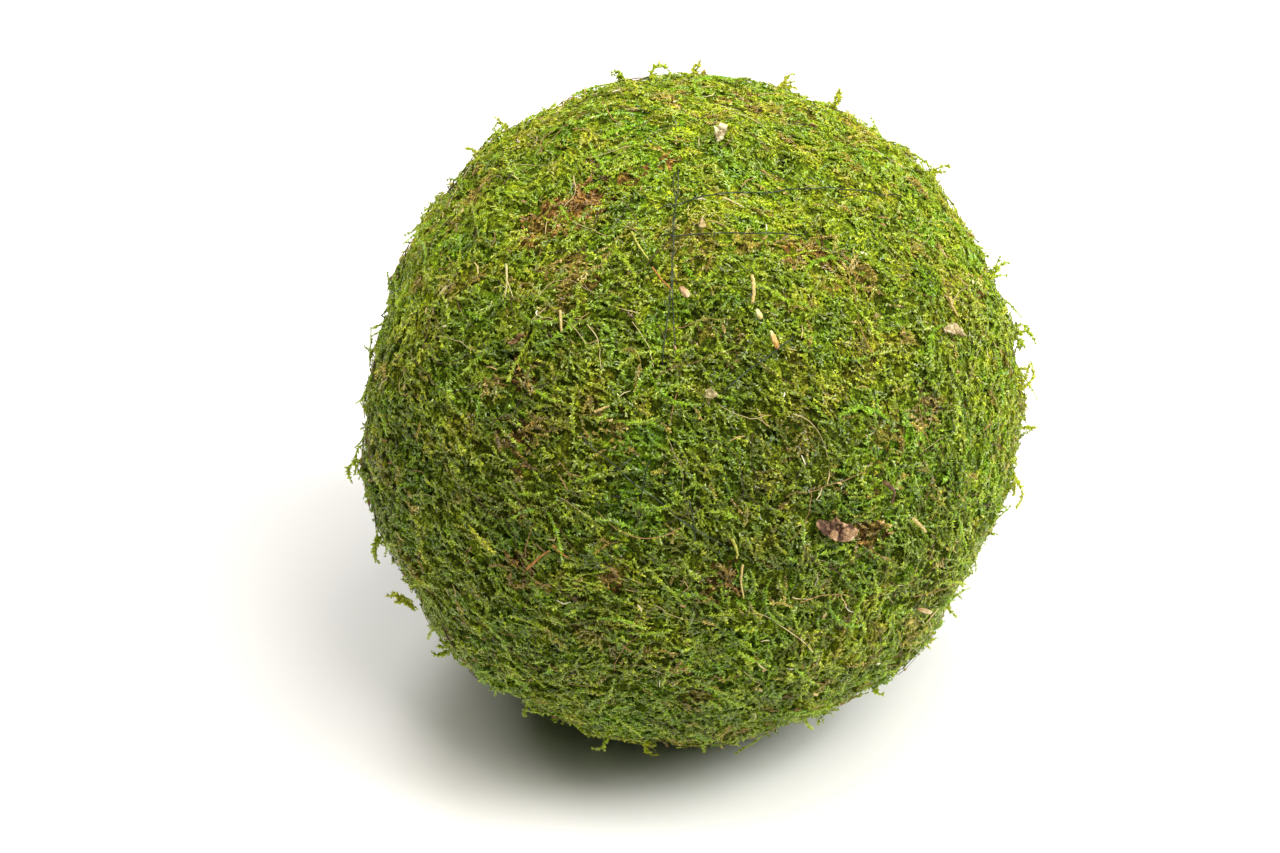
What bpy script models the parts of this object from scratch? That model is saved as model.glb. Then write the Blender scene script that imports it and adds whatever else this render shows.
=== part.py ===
"""A ball of pressed sheet moss, bound with thin green thread and flecked with bark and straw."""

import math
import random

import bmesh
import bpy
import numpy as np
from mathutils import Vector, kdtree, noise
from mathutils.bvhtree import BVHTree

# Ball
BALL_RADIUS = 0.0647
REST_RADIUS = 0.0165
BALL_CELLS = 21
TUFT_WIDTH = 0.0105
TUFT_HEIGHT = 0.0036
TUFT_LEVEL = 0.45
RUFFLE_WIDTH = 0.0065
RUFFLE_HEIGHT = 0.0010
FOLD_WIDTH = 0.028
FOLD_HEIGHT = 0.0009
CALM_FOOT = math.radians(30.0)
OUTSIDE = 1.5 * BALL_RADIUS

# Photo view: the camera's slope, its distance and the ball's disc in pixels
VIEW_SLOPE = math.radians(30.0)
VIEW_DISTANCE = 0.59
DISC_MIDDLE = (688.7, 409.7)
DISC_RADIUS = 334.0

# Swells and hollows of the outline: pixel near the rim, height in metres, spread in radians
SWELLS = (
    ((944, 194), 0.0011, 0.30),
    ((689, 76), 0.0012, 0.30),
    ((520, 702), 0.0013, 0.40),
    ((384, 552), -0.0005, 0.30),
    ((386, 282), -0.0018, 0.36),
    ((362, 380), -0.0010, 0.30),
    ((992, 545), -0.0030, 0.20),
    ((892, 672), 0.0007, 0.20),
)

# Thread: each turn goes through two pixels and one far point given as azimuth and height angle
THREAD_RADIUS = 0.0002
THREAD_POINTS = 54
THREAD_SAMPLES = 1350
THREAD_TREE_SAMPLES = 337
THREAD_PROBE_WIDTH = 1.4 * THREAD_RADIUS
THREAD_TAUT_STEPS = 1.3
THREAD_PRESS = 0.0011
GROOVE_WIDTH = 0.0045
THREAD_TURNS = (
    ((736, 190), (893, 192), (186.0, -34.0)),
    ((695, 231), (786, 231), (172.0, -20.0)),
    ((678, 176), (673, 318), (148.0, -36.0)),
    ((674, 200), (664, 350), (214.0, -30.0)),
    ((731, 385), (785, 344), (160.0, -8.0)),
    ((644, 493), (724, 549), (197.0, 18.0)),
)

# Sprigs that stand out of the rim: root, middle and tip in pixels
RIM_SPRIGS = (
    ((489, 172), (479, 156), (466, 148)),
    ((628, 86), (622, 76), (612, 72)),
    ((645, 84), (656, 66), (671, 74)),
    ((694, 82), (693, 71), (700, 64)),
    ((783, 90), (786, 79), (794, 74)),
    ((830, 108), (838, 100), (839, 90)),
    ((928, 176), (938, 168), (950, 167)),
    ((994, 288), (998, 268), (1010, 263)),
    ((1008, 331), (1018, 325), (1029, 328)),
    ((1013, 346), (1024, 331), (1035, 343)),
    ((1014, 392), (1030, 382), (1031, 362)),
    ((1008, 474), (1021, 488), (1016, 508)),
    ((362, 458), (350, 466), (352, 482)),
    ((384, 530), (374, 546), (379, 562)),
    ((408, 606), (398, 596), (386, 596)),
    ((456, 644), (444, 654), (432, 652)),
    ((640, 734), (647, 750), (657, 754)),
    ((930, 594), (941, 596), (947, 604)),
    ((868, 682), (876, 692), (884, 692)),
)
SPRIG_RADIUS = 0.0010
SPRIG_TIP = 0.35
SPRIG_SHARES = (0.0, 0.45, 0.75, 1.0)
SPRIG_ROOT_DEPTH = 0.0030

# Sprigs of the other sides: their number and length, and what they rise and lean by, in lengths
SPREAD_SPRIGS = 36
SPREAD_SEED = 11
SPREAD_SPRIG_LENGTH = 0.0052
SPREAD_RISE = (0.3, 0.4)
SPREAD_LEAN = 0.5
SPREAD_FRONT_END = 0.35
SPREAD_FOOT_END = -0.75
SPRIG_SPACING = 0.009
SPRIG_THREAD_SPACE = 0.0045

# Litter: threadlike bits as pixels along them, then their half thickness in metres
STRANDS = {
    "pale_stem_upper": (((631, 230), (637, 242), (648, 258)), 0.00038),
    "pale_stem_lower": (((652, 267), (660, 277), (671, 288)), 0.00034),
    "straw_upright": (((751, 277), (753, 290), (752, 304)), 0.00052),
    "pale_needle": (((724, 195), (734, 199), (745, 205)), 0.00032),
    "forked_stalk": (((505, 263), (507, 280), (504, 297)), 0.00042),
    "tan_strip": (((561, 311), (562, 321), (562, 332)), 0.00040),
    "curled_frond": (((621, 350), (634, 351), (640, 363), (637, 377), (635, 391)), 0.00060),
    "brown_needle": (((525, 571), (540, 557), (549, 551)), 0.00038),
    "crossed_needle": (((553, 545), (560, 552), (569, 558)), 0.00034),
    "yellow_catkin": (((470, 523), (482, 537), (495, 553)), 0.00070),
    "pale_root": (((743, 566), (741, 582), (744, 599)), 0.00036),
    "yellow_stem": (((733, 541), (737, 551), (738, 560)), 0.00045),
    "tan_stick": (((908, 516), (916, 523), (925, 531)), 0.00055),
    "straw_right": (((951, 296), (955, 305), (960, 315)), 0.00040),
    "dark_stalk": (((880, 480), (889, 489), (887, 501)), 0.00050),
    "short_straw": (((594, 412), (601, 409), (609, 406)), 0.00045),
    "orange_strand": (((862, 261), (869, 268), (877, 280)), 0.00045),
}
# Husks: spindles from end to end in pixels, then their half thickness in metres
HUSKS = {
    "orange_husk": (((769, 331), (777, 351)), 0.00105),
    "pink_husk": (((678, 288), (691, 301)), 0.00100),
    "pale_husk": (((754, 311), (761, 322)), 0.00085),
    "rose_husk": (((917, 609), (934, 613)), 0.00080),
}
# Flakes: outlines in pixels, then their thickness in metres
FLAKES = {
    "bark_flake": (
        ((817, 523), (826, 519), (836, 521), (845, 518), (855, 526), (853, 537),
         (842, 542), (830, 540), (820, 533)), 0.0008),
    "leaf_scrap": (((941, 328), (948, 317), (957, 321), (963, 334), (952, 340)), 0.0006),
    "scale_shard": (((704, 398), (709, 386), (713, 386), (721, 399)), 0.0006),
    "rose_flake": (((697, 222), (703, 215), (709, 219), (706, 229)), 0.0006),
    "white_scrap": (((713, 136), (718, 129), (728, 131), (725, 143), (717, 145)), 0.0006),
    "brown_flake": (((506, 337), (514, 332), (524, 336), (520, 344), (510, 344)), 0.0007),
}
GAP = 0.00035

# How far round a bit of litter the moss under it is felt: the reaches, the rings and their steps
STRAND_REACH = 0.0024
HUSK_REACH = 0.0026
RING_SHARES = (0.35, 0.7, 1.0)
RING_STEPS = 8
HUSK_PROFILE = (0.25, 0.8, 1.0, 0.75, 0.2)
STRAND_END = 0.6
FLAKE_SAMPLES = 5

# Colours: red, green, blue, then roughness
MOSS_COLOUR = (0.130, 0.175, 0.030, 0.85)
THREAD_COLOUR = (0.012, 0.030, 0.018, 0.40)
STRAW_COLOUR = (0.480, 0.360, 0.160, 0.60)
NEEDLE_COLOUR = (0.300, 0.150, 0.060, 0.60)
STEM_COLOUR = (0.300, 0.330, 0.060, 0.65)
HUSK_COLOUR = (0.520, 0.300, 0.150, 0.55)
BARK_COLOUR = (0.430, 0.240, 0.170, 0.80)
PALE_COLOUR = (0.620, 0.560, 0.440, 0.65)
LITTER_COLOURS = {
    "straw_upright": STRAW_COLOUR,
    "tan_strip": STRAW_COLOUR,
    "short_straw": STRAW_COLOUR,
    "straw_right": STRAW_COLOUR,
    "pale_needle": PALE_COLOUR,
    "pale_root": PALE_COLOUR,
    "pale_stem_upper": PALE_COLOUR,
    "pale_stem_lower": STEM_COLOUR,
    "forked_stalk": PALE_COLOUR,
    "yellow_catkin": STEM_COLOUR,
    "yellow_stem": STEM_COLOUR,
    "leaf_scrap": PALE_COLOUR,
    "white_scrap": PALE_COLOUR,
    "scale_shard": PALE_COLOUR,
    "bark_flake": BARK_COLOUR,
    "rose_flake": BARK_COLOUR,
    "brown_flake": BARK_COLOUR,
    "orange_husk": HUSK_COLOUR,
    "pink_husk": HUSK_COLOUR,
    "pale_husk": PALE_COLOUR,
    "rose_husk": HUSK_COLOUR,
}

CENTRE = Vector((0.0, 0.0, math.sqrt(BALL_RADIUS ** 2 - REST_RADIUS ** 2)))
TO_CAMERA = Vector((0.0, -math.cos(VIEW_SLOPE), math.sin(VIEW_SLOPE)))
PICTURE_RIGHT = Vector((1.0, 0.0, 0.0))
PICTURE_UP = Vector((0.0, math.sin(VIEW_SLOPE), math.cos(VIEW_SLOPE)))
DOWN = Vector((0.0, 0.0, -1.0))
FOCAL_PIXELS = DISC_RADIUS * math.sqrt((VIEW_DISTANCE / BALL_RADIUS) ** 2 - 1.0)


def clear_scene():
    """Remove whatever the opened file holds."""
    for item in list(bpy.data.objects):
        bpy.data.objects.remove(item, do_unlink=True)


def picture_offset(pixel):
    """A pixel's offset from the disc's middle, right and up, in pixels."""
    return pixel[0] - DISC_MIDDLE[0], DISC_MIDDLE[1] - pixel[1]


def photo_direction(pixel):
    """Unit direction from the ball's centre to what shows at a pixel inside the disc."""
    right, up = picture_offset(pixel)
    ray = (PICTURE_RIGHT * right + PICTURE_UP * up) / FOCAL_PIXELS - TO_CAMERA
    ray.normalize()
    start = TO_CAMERA * VIEW_DISTANCE
    half = start.dot(ray)
    inside = max(half * half - VIEW_DISTANCE ** 2 + BALL_RADIUS ** 2, 0.0)
    return (start + ray * (-half - math.sqrt(inside))).normalized()


def rim_point(pixel):
    """Offset from the ball's centre of a pixel at or past the rim, on the circle of the rim."""
    right, up = picture_offset(pixel)
    scale = BALL_RADIUS / DISC_RADIUS
    flat = (PICTURE_RIGHT * right + PICTURE_UP * up) * scale
    lean = BALL_RADIUS / VIEW_DISTANCE
    return flat * math.sqrt(1.0 - lean ** 2) + TO_CAMERA * BALL_RADIUS * lean


def compass_direction(azimuth, height):
    """Unit direction by degrees round from the camera's side and degrees above level."""
    turn = math.radians(azimuth)
    rise = math.radians(height)
    return Vector((math.sin(turn) * math.cos(rise), -math.cos(turn) * math.cos(rise), math.sin(rise)))


def turn_directions(turn, count):
    """Evenly spaced directions round the circle through a thread turn's three points."""
    first = photo_direction(turn[0])
    second = photo_direction(turn[1])
    far = compass_direction(*turn[2])
    axis = (second - first).cross(far - first).normalized()
    middle = axis * first.dot(axis)
    spoke = first - middle
    other = axis.cross(spoke)
    angles = [2.0 * math.pi * step / count for step in range(count)]
    return [middle + spoke * math.cos(angle) + other * math.sin(angle) for angle in angles]


def thread_tree():
    """Search tree over all turns of the thread, as directions."""
    spots = [spot for turn in THREAD_TURNS for spot in turn_directions(turn, THREAD_TREE_SAMPLES)]
    tree = kdtree.KDTree(len(spots))
    for number, spot in enumerate(spots):
        tree.insert(spot, number)
    tree.balance()
    return tree


def swell_height(direction):
    """Rise or fall of the outline's broad swells along a direction."""
    total = 0.0
    for pixel, height, spread in SWELLS:
        turned = direction.angle(rim_point(pixel).normalized())
        total += height * math.exp(-(turned / spread) ** 2)
    return total


def tuft_height(direction):
    """Domed tufts of ruffled moss with creases between them, on slow folds."""
    nearest = noise.voronoi(direction * (BALL_RADIUS / TUFT_WIDTH))[0][0]
    ruffle = noise.noise(direction * (BALL_RADIUS / RUFFLE_WIDTH))
    fold = noise.noise(direction * (BALL_RADIUS / FOLD_WIDTH))
    return TUFT_HEIGHT * (TUFT_LEVEL - nearest) + RUFFLE_HEIGHT * ruffle + FOLD_HEIGHT * fold


def moss_radius(direction, threads):
    """Distance of the moss tips from the centre along a direction."""
    calm = min(direction.angle(DOWN) / CALM_FOOT, 1.0) ** 2
    near = threads.find(direction)[2] * BALL_RADIUS
    groove = math.exp(-(near / GROOVE_WIDTH) ** 2)
    rise = (tuft_height(direction) * (1.0 - groove) + swell_height(direction)) * calm
    return BALL_RADIUS + rise - THREAD_PRESS * groove * calm


def ball_mesh(threads):
    """Cube grid pushed out to the moss tips and cut flat where the ball rests."""
    mesh = bmesh.new()
    bmesh.ops.create_cube(mesh, size=2.0)
    bmesh.ops.subdivide_edges(mesh, edges=mesh.edges[:], cuts=BALL_CELLS - 1, use_grid_fill=True)
    for vertex in mesh.verts:
        evened = Vector([math.tan(value * math.pi / 4.0) for value in vertex.co])
        direction = evened.normalized()
        vertex.co = CENTRE + direction * moss_radius(direction, threads)
    everything = mesh.verts[:] + mesh.edges[:] + mesh.faces[:]
    bmesh.ops.bisect_plane(mesh, geom=everything, plane_co=(0, 0, 0), plane_no=DOWN, clear_outer=True)
    bmesh.ops.holes_fill(mesh, edges=[edge for edge in mesh.edges if edge.is_boundary])
    bmesh.ops.recalc_face_normals(mesh, faces=mesh.faces[:])
    return mesh


def curve_object(name, splines, radius, sides_step, closed=False):
    """Round tube along lists of points with a relative thickness at each."""
    curve = bpy.data.curves.new(name, "CURVE")
    curve.dimensions = "3D"
    curve.bevel_depth = radius
    curve.bevel_resolution = sides_step
    curve.use_fill_caps = not closed
    for points, thickness in splines:
        spline = curve.splines.new("POLY")
        spline.points.add(len(points) - 1)
        for item, point, share in zip(spline.points, points, thickness):
            item.co = (*point, 1.0)
            item.radius = share
        spline.use_cyclic_u = closed
    made = bpy.data.objects.new(name, curve)
    bpy.context.collection.objects.link(made)
    return made


def sprig_path(root, middle, tip):
    """Points and thickness along a sprig that curves from its root to its tip."""
    start = root.normalized() * (root.length - SPRIG_ROOT_DEPTH)
    points = []
    for share in SPRIG_SHARES:
        bend = middle * (2.0 * share * (1.0 - share))
        points.append(CENTRE + start * (1.0 - share) ** 2 + bend + tip * share ** 2)
    thickness = [1.0 - (1.0 - SPRIG_TIP) * share for share in SPRIG_SHARES]
    return points, thickness


def control_point(root, middle, tip):
    """Control point that makes a quadratic curve pass through the middle."""
    start = root.normalized() * (root.length - SPRIG_ROOT_DEPTH)
    return middle * 2.0 - (start + tip) * 0.5


def rim_sprig_paths():
    """Sprigs seen against the background, each where the photo shows it."""
    paths = []
    for root, middle, tip in RIM_SPRIGS:
        base, bend, end = rim_point(root), rim_point(middle), rim_point(tip)
        paths.append((base, sprig_path(base, control_point(base, bend, end), end)))
    return paths


def spread_sprig_paths(rng):
    """Sprigs on the sides that the photo doesn't show."""
    paths = []
    while len(paths) < SPREAD_SPRIGS:
        direction = Vector([rng.gauss(0.0, 1.0) for _ in range(3)]).normalized()
        lean = direction.cross(Vector([rng.gauss(0.0, 1.0) for _ in range(3)])).normalized()
        if direction.dot(TO_CAMERA) > SPREAD_FRONT_END or direction.z < SPREAD_FOOT_END:
            continue
        root = direction * BALL_RADIUS
        aside = lean * SPREAD_LEAN * SPREAD_SPRIG_LENGTH
        middle = root + direction * SPREAD_RISE[0] * SPREAD_SPRIG_LENGTH + aside
        tip = middle + direction * SPREAD_RISE[1] * SPREAD_SPRIG_LENGTH + aside
        paths.append((root, sprig_path(root, control_point(root, middle, tip), tip)))
    return paths


def clear_sprigs(paths, threads):
    """Keep the sprigs that no thread presses down and that stand clear of each other."""
    kept = []
    roots = []
    for root, path in paths:
        near_thread = threads.find(root.normalized())[2] * BALL_RADIUS < SPRIG_THREAD_SPACE
        crowded = any((root - other).length < SPRIG_SPACING for other in roots)
        if near_thread or crowded:
            continue
        roots.append(root)
        kept.append(path)
    return kept


def make_ball(threads):
    """The moss ball with its sprigs grown together with it."""
    data = bpy.data.meshes.new("moss_ball")
    mesh = ball_mesh(threads)
    mesh.to_mesh(data)
    mesh.free()
    ball = bpy.data.objects.new("moss_ball", data)
    bpy.context.collection.objects.link(ball)
    paths = rim_sprig_paths() + spread_sprig_paths(random.Random(SPREAD_SEED))
    sprigs = curve_object("sprig_cutter", clear_sprigs(paths, threads), SPRIG_RADIUS, 0)
    solid = bpy.data.meshes.new_from_object(sprigs)
    bpy.data.objects.remove(sprigs, do_unlink=True)
    cutter = bpy.data.objects.new("sprig_cutter", solid)
    bpy.context.collection.objects.link(cutter)
    cutter.hide_render = True
    cutter.display_type = "WIRE"
    join = ball.modifiers.new("sprigs", "BOOLEAN")
    join.operation = "UNION"
    join.solver = "EXACT"
    join.object = cutter
    return ball


def evaluated_triangles(item):
    """World vertices and triangles of an object as it shows in the viewport."""
    graph = bpy.context.evaluated_depsgraph_get()
    shown = item.evaluated_get(graph)
    data = shown.to_mesh()
    data.calc_loop_triangles()
    points = [item.matrix_world @ vertex.co for vertex in data.vertices]
    triangles = [tuple(triangle.vertices) for triangle in data.loop_triangles]
    shown.to_mesh_clear()
    return points, triangles


class Surface:
    """What lies on the ball so far, asked for its height along directions."""

    def __init__(self):
        self.points = []
        self.triangles = []
        self.tree = None

    def add(self, item):
        """Take an object's triangles in."""
        points, triangles = evaluated_triangles(item)
        start = len(self.points)
        self.points += points
        self.triangles += [tuple(corner + start for corner in triangle) for triangle in triangles]
        self.tree = BVHTree.FromPolygons(self.points, self.triangles)

    def height(self, direction):
        """Largest distance from the centre along a direction."""
        hit = self.tree.ray_cast(CENTRE + direction * OUTSIDE, -direction)
        return OUTSIDE - hit[3] if hit[0] else 0.0

    def top(self, direction, reach):
        """Largest height within a reach of a direction."""
        side = direction.orthogonal().normalized()
        other = direction.cross(side)
        best = self.height(direction)
        for share in RING_SHARES:
            for step in range(RING_STEPS):
                angle = 2.0 * math.pi * step / RING_STEPS
                offset = (side * math.cos(angle) + other * math.sin(angle)) * share * reach
                best = max(best, self.height((direction + offset / BALL_RADIUS).normalized()))
        return best


def paint(item, colour):
    """Give an object its own plain material."""
    material = bpy.data.materials.new(item.name + "_finish")
    material.use_nodes = True
    shader = material.node_tree.nodes["Principled BSDF"]
    shader.inputs["Base Color"].default_value = (*colour[:3], 1.0)
    shader.inputs["Roughness"].default_value = colour[3]
    shader.inputs["Metallic"].default_value = 0.0
    material.diffuse_color = (*colour[:3], 1.0)
    item.data.materials.append(material)


def make_strand(name, surface):
    """A stem, straw or needle that lies over the tufts."""
    pixels, radius = STRANDS[name]
    points = []
    for pixel in pixels:
        direction = photo_direction(pixel)
        points.append(CENTRE + direction * (surface.top(direction, STRAND_REACH) + GAP + radius))
    thickness = [1.0] * len(points)
    thickness[-1] = STRAND_END
    return curve_object(name, [(points, thickness)], radius, 1)


def make_husk(name, surface):
    """A spindle-shaped husk."""
    (first, last), radius = HUSKS[name]
    points = []
    for number in range(len(HUSK_PROFILE)):
        share = number / (len(HUSK_PROFILE) - 1)
        pixel = [one + (two - one) * share for one, two in zip(first, last)]
        direction = photo_direction(pixel)
        points.append(CENTRE + direction * (surface.top(direction, HUSK_REACH) + GAP + radius))
    level = max((point - CENTRE).length for point in points)
    points = [CENTRE + (point - CENTRE).normalized() * level for point in points]
    return curve_object(name, [(points, HUSK_PROFILE)], radius, 1)


def make_flake(name, surface):
    """A flat scrap lying on the tufts, with its outline as the photo shows it."""
    outline, thickness = FLAKES[name]
    directions = [photo_direction(pixel) for pixel in outline]
    middle = sum(directions, Vector()).normalized()
    reach = max((direction - middle).length for direction in directions) * BALL_RADIUS
    level = surface.top(middle, reach) + GAP
    mesh = bmesh.new()
    corners = []
    for direction in directions:
        corners.append(mesh.verts.new(CENTRE + direction * (level / direction.dot(middle))))
    face = mesh.faces.new(corners)
    face.normal_update()
    if face.normal.dot(middle) > 0.0:
        face.normal_flip()
    made = bmesh.ops.extrude_face_region(mesh, geom=[face])
    lifted = [item for item in made["geom"] if isinstance(item, bmesh.types.BMVert)]
    bmesh.ops.translate(mesh, vec=middle * thickness, verts=lifted)
    bmesh.ops.recalc_face_normals(mesh, faces=mesh.faces[:])
    data = bpy.data.meshes.new(name)
    mesh.to_mesh(data)
    mesh.free()
    flake = bpy.data.objects.new(name, data)
    bpy.context.collection.objects.link(flake)
    return flake


def run_filter(values, reach, combine):
    """Combine each value of a closed row with its neighbours within a reach."""
    shifted = [np.roll(values, step) for step in range(-reach, reach + 1)]
    return combine(np.array(shifted), axis=0)


def make_thread(number, turn, surface):
    """One taut turn of thread over the tufts, the litter and the turns before it."""
    directions = turn_directions(turn, THREAD_SAMPLES)
    heights = []
    for index, direction in enumerate(directions):
        along = directions[(index + 1) % THREAD_SAMPLES] - direction
        side = direction.cross(along).normalized() * THREAD_PROBE_WIDTH / BALL_RADIUS
        probes = (direction, (direction + side).normalized(), (direction - side).normalized())
        heights.append(max(surface.height(probe) for probe in probes))
    step = THREAD_SAMPLES // THREAD_POINTS
    taut = run_filter(np.array(heights), int(THREAD_TAUT_STEPS * step), np.max)
    taut = run_filter(taut, step // 2, np.mean)
    level = taut + GAP + THREAD_RADIUS
    points = [CENTRE + directions[i] * level[i] for i in range(0, THREAD_SAMPLES, step)]
    name = f"thread_turn_{number}"
    return curve_object(name, [(points, [1.0] * len(points))], THREAD_RADIUS, 0, closed=True)


def main():
    """Make the ball, lay the litter on it and wind the thread round them."""
    clear_scene()
    threads = thread_tree()
    ball = make_ball(threads)
    paint(ball, MOSS_COLOUR)
    surface = Surface()
    surface.add(ball)
    litter = [make_strand(name, surface) for name in STRANDS]
    litter += [make_husk(name, surface) for name in HUSKS]
    litter += [make_flake(name, surface) for name in FLAKES]
    for item in litter:
        paint(item, LITTER_COLOURS.get(item.name, NEEDLE_COLOUR))
        surface.add(item)
    for number, turn in enumerate(THREAD_TURNS, start=1):
        thread = make_thread(number, turn, surface)
        paint(thread, THREAD_COLOUR)
        surface.add(thread)


main()
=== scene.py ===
"""Dresses the moss ball with leafy shoots, its binding thread and the litter caught in it."""

import math

import bpy
import numpy as np
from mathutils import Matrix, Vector, kdtree, noise
from mathutils.bvhtree import BVHTree


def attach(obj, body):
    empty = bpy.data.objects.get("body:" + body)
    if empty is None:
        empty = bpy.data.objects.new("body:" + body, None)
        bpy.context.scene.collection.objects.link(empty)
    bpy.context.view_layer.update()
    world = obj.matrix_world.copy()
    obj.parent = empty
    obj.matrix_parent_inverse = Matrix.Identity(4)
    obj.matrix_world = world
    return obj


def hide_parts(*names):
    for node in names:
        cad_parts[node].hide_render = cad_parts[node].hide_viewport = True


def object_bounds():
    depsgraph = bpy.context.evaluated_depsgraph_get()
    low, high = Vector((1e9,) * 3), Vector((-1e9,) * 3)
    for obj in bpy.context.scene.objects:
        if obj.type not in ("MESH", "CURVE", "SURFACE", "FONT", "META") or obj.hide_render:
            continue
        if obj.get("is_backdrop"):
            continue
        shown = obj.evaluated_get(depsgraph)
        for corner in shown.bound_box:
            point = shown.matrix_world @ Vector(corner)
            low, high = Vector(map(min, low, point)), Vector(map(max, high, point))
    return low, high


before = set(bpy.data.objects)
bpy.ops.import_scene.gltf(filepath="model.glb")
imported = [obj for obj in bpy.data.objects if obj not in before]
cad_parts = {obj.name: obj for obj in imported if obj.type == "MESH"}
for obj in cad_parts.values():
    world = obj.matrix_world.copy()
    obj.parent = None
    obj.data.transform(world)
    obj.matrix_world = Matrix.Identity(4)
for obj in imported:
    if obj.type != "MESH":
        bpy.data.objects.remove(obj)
CAD_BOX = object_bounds()

bl_info = {
    "name": "Moss Ball Dresser",
    "version": (1, 0, 0),
    "blender": (4, 5, 0),
    "location": "3D View > Sidebar > Moss Ball",
    "description": "Dresses a ball of pressed moss with shoots, binding thread and litter",
    "category": "Object",
}

# The ball, as it was built
BALL_RADIUS = 0.0647
REST_RADIUS = 0.0165
CENTRE = Vector((0.0, 0.0, math.sqrt(BALL_RADIUS ** 2 - REST_RADIUS ** 2)))
CENTRE_POINT = np.array(CENTRE)
OUTSIDE = 1.6 * BALL_RADIUS

# Photo view: the camera's slope and distance, the picture and the ball's disc in pixels
VIEW_SLOPE = math.radians(30.0)
VIEW_DISTANCE = 0.59
PICTURE_SIZE = (1280, 853)
DISC_MIDDLE = (688.7, 409.7)
DISC_RADIUS = 334.0
TO_CAMERA = Vector((0.0, -math.cos(VIEW_SLOPE), math.sin(VIEW_SLOPE)))
PICTURE_RIGHT = Vector((1.0, 0.0, 0.0))
PICTURE_UP = Vector((0.0, math.sin(VIEW_SLOPE), math.cos(VIEW_SLOPE)))
FOCAL_PIXELS = DISC_RADIUS * math.sqrt((VIEW_DISTANCE / BALL_RADIUS) ** 2 - 1.0)
SENSOR_WIDTH = 36.0

LEAF_MAP = "OFBake"
FLOOR_GAP = 0.0002

# Height map of the ball's skin: how finely the globe it is cast on is cut, cells round and cells down
SKIN_FINENESS = 7
SKIN_ROUND = 512
SKIN_TALL = 256

# What counts as a sprig: edges that a narrow one spans, its height, and how far apart two of them are
SPRIG_EDGES = 2
SPRIG_HEIGHT = 0.0012
SPRIG_SPACING = 0.0055

# The way the shoots lie in the picture, the size of their swirls, and how far a swirl turns them
COMB_ANGLE = math.radians(150.0)
SWIRL_SIZE = 0.030
SWIRL_TURN = 1.6

# Painted shade: how much lighter a leaf is a metre further out, so that leaves deeper in the moss are
# darker
HEIGHT_SHADE = 70.0

# Painted light: how much yellower a green leaf is a metre further out, standing in for light shining
# through the thin outer leaves, and the most that it turns
HEIGHT_GLOW = 120.0
HEIGHT_GLOW_MOST = 0.08

# The way the ball's lit side faces, for painted light: the moss is lighter and yellower towards it
LIT_SIDE_WAY = Vector((0.1, 0.4, 0.9)).normalized()

# What the moss may take of the palette, and the share of the map's height that its light fills
LIGHT_RANGE = (0.07, 0.56)
TINT_RANGE = (0.02, 0.98)
LIGHT_FIT = 0.8

# How the map's light turns into a factor on the palette's colour: at none, its power, and its gain
LIGHT_LEAST = 0.09
LIGHT_POWER = 1.35
LIGHT_GAIN = 1.70

# Painted shade of folds across a leaf and clefts along it, as dark and light bands: how fast they follow
# each other on the map, and their depth
FOLD_TURN = 26.0
FOLD_DEPTH = 0.24
CLEFT_TURN = 630.0
CLEFT_DEPTH = 0.38

# Tints along the moss palette
HOLLOW, SHADE, VIVID, FERN, MOSS, LIME, GOLD, OLIVE, TAN, BROWN, RUSSET = np.linspace(0.0, 1.0, 11)


def picture_offset(pixel):
    """A pixel's offset from the disc's middle, right and up, in pixels."""
    return pixel[0] - DISC_MIDDLE[0], DISC_MIDDLE[1] - pixel[1]


def photo_direction(pixel):
    """Unit direction from the ball's centre to what shows at a pixel inside the disc."""
    right, up = picture_offset(pixel)
    ray = (PICTURE_RIGHT * right + PICTURE_UP * up) / FOCAL_PIXELS - TO_CAMERA
    ray.normalize()
    start = TO_CAMERA * VIEW_DISTANCE
    half = start.dot(ray)
    inside = max(half * half - VIEW_DISTANCE ** 2 + BALL_RADIUS ** 2, 0.0)
    return (start + ray * (-half - math.sqrt(inside))).normalized()


def picture_places(points):
    """Pixels at which points show, given as offsets from the ball's centre."""
    depth = VIEW_DISTANCE - points @ np.array(TO_CAMERA)
    right = FOCAL_PIXELS * (points @ np.array(PICTURE_RIGHT)) / depth
    up = FOCAL_PIXELS * (points @ np.array(PICTURE_UP)) / depth
    return np.stack([DISC_MIDDLE[0] + right, DISC_MIDDLE[1] - up], -1)


def rim_point(pixel):
    """Offset from the ball's centre of a pixel at or past the rim, on the circle of the rim."""
    right, up = picture_offset(pixel)
    flat = (PICTURE_RIGHT * right + PICTURE_UP * up) * (BALL_RADIUS / DISC_RADIUS)
    lean = BALL_RADIUS / VIEW_DISTANCE
    return flat * math.sqrt(1.0 - lean ** 2) + TO_CAMERA * BALL_RADIUS * lean


def deselect():
    """Leave nothing selected, so that an operator acts only on what is made next."""
    bpy.ops.object.select_all(action="DESELECT")


def add_shape(operator, **settings):
    """The object that an operator for adding shapes makes."""
    deselect()
    operator(**settings)
    return bpy.context.object


def take_points(item):
    """Vertices of an object's mesh as an array."""
    found = np.empty(len(item.data.vertices) * 3)
    item.data.vertices.foreach_get("co", found)
    return found.reshape(-1, 3)


def put_points(item, points):
    """Move the vertices of an object's mesh to the points of an array."""
    item.data.vertices.foreach_set("co", points.ravel())
    item.data.update()


def unit(vectors):
    """Vectors of an array brought to length one."""
    return vectors / np.linalg.norm(vectors, axis=-1, keepdims=True)


def node_tree(name, origin=CENTRE):
    """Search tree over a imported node, moved so that an origin comes to nothing."""
    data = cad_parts[name].data
    points = [vertex.co - origin for vertex in data.vertices]
    return BVHTree.FromPolygons(points, [tuple(face.vertices) for face in data.polygons])


def finish_piece(item, material, slot, *nodes):
    """Give a piece its finish and tie it to the frame."""
    item.data.materials.clear()
    item.data.materials.append(material)
    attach(item, "root")
    if nodes:
        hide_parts(*nodes)


# Skin


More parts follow.
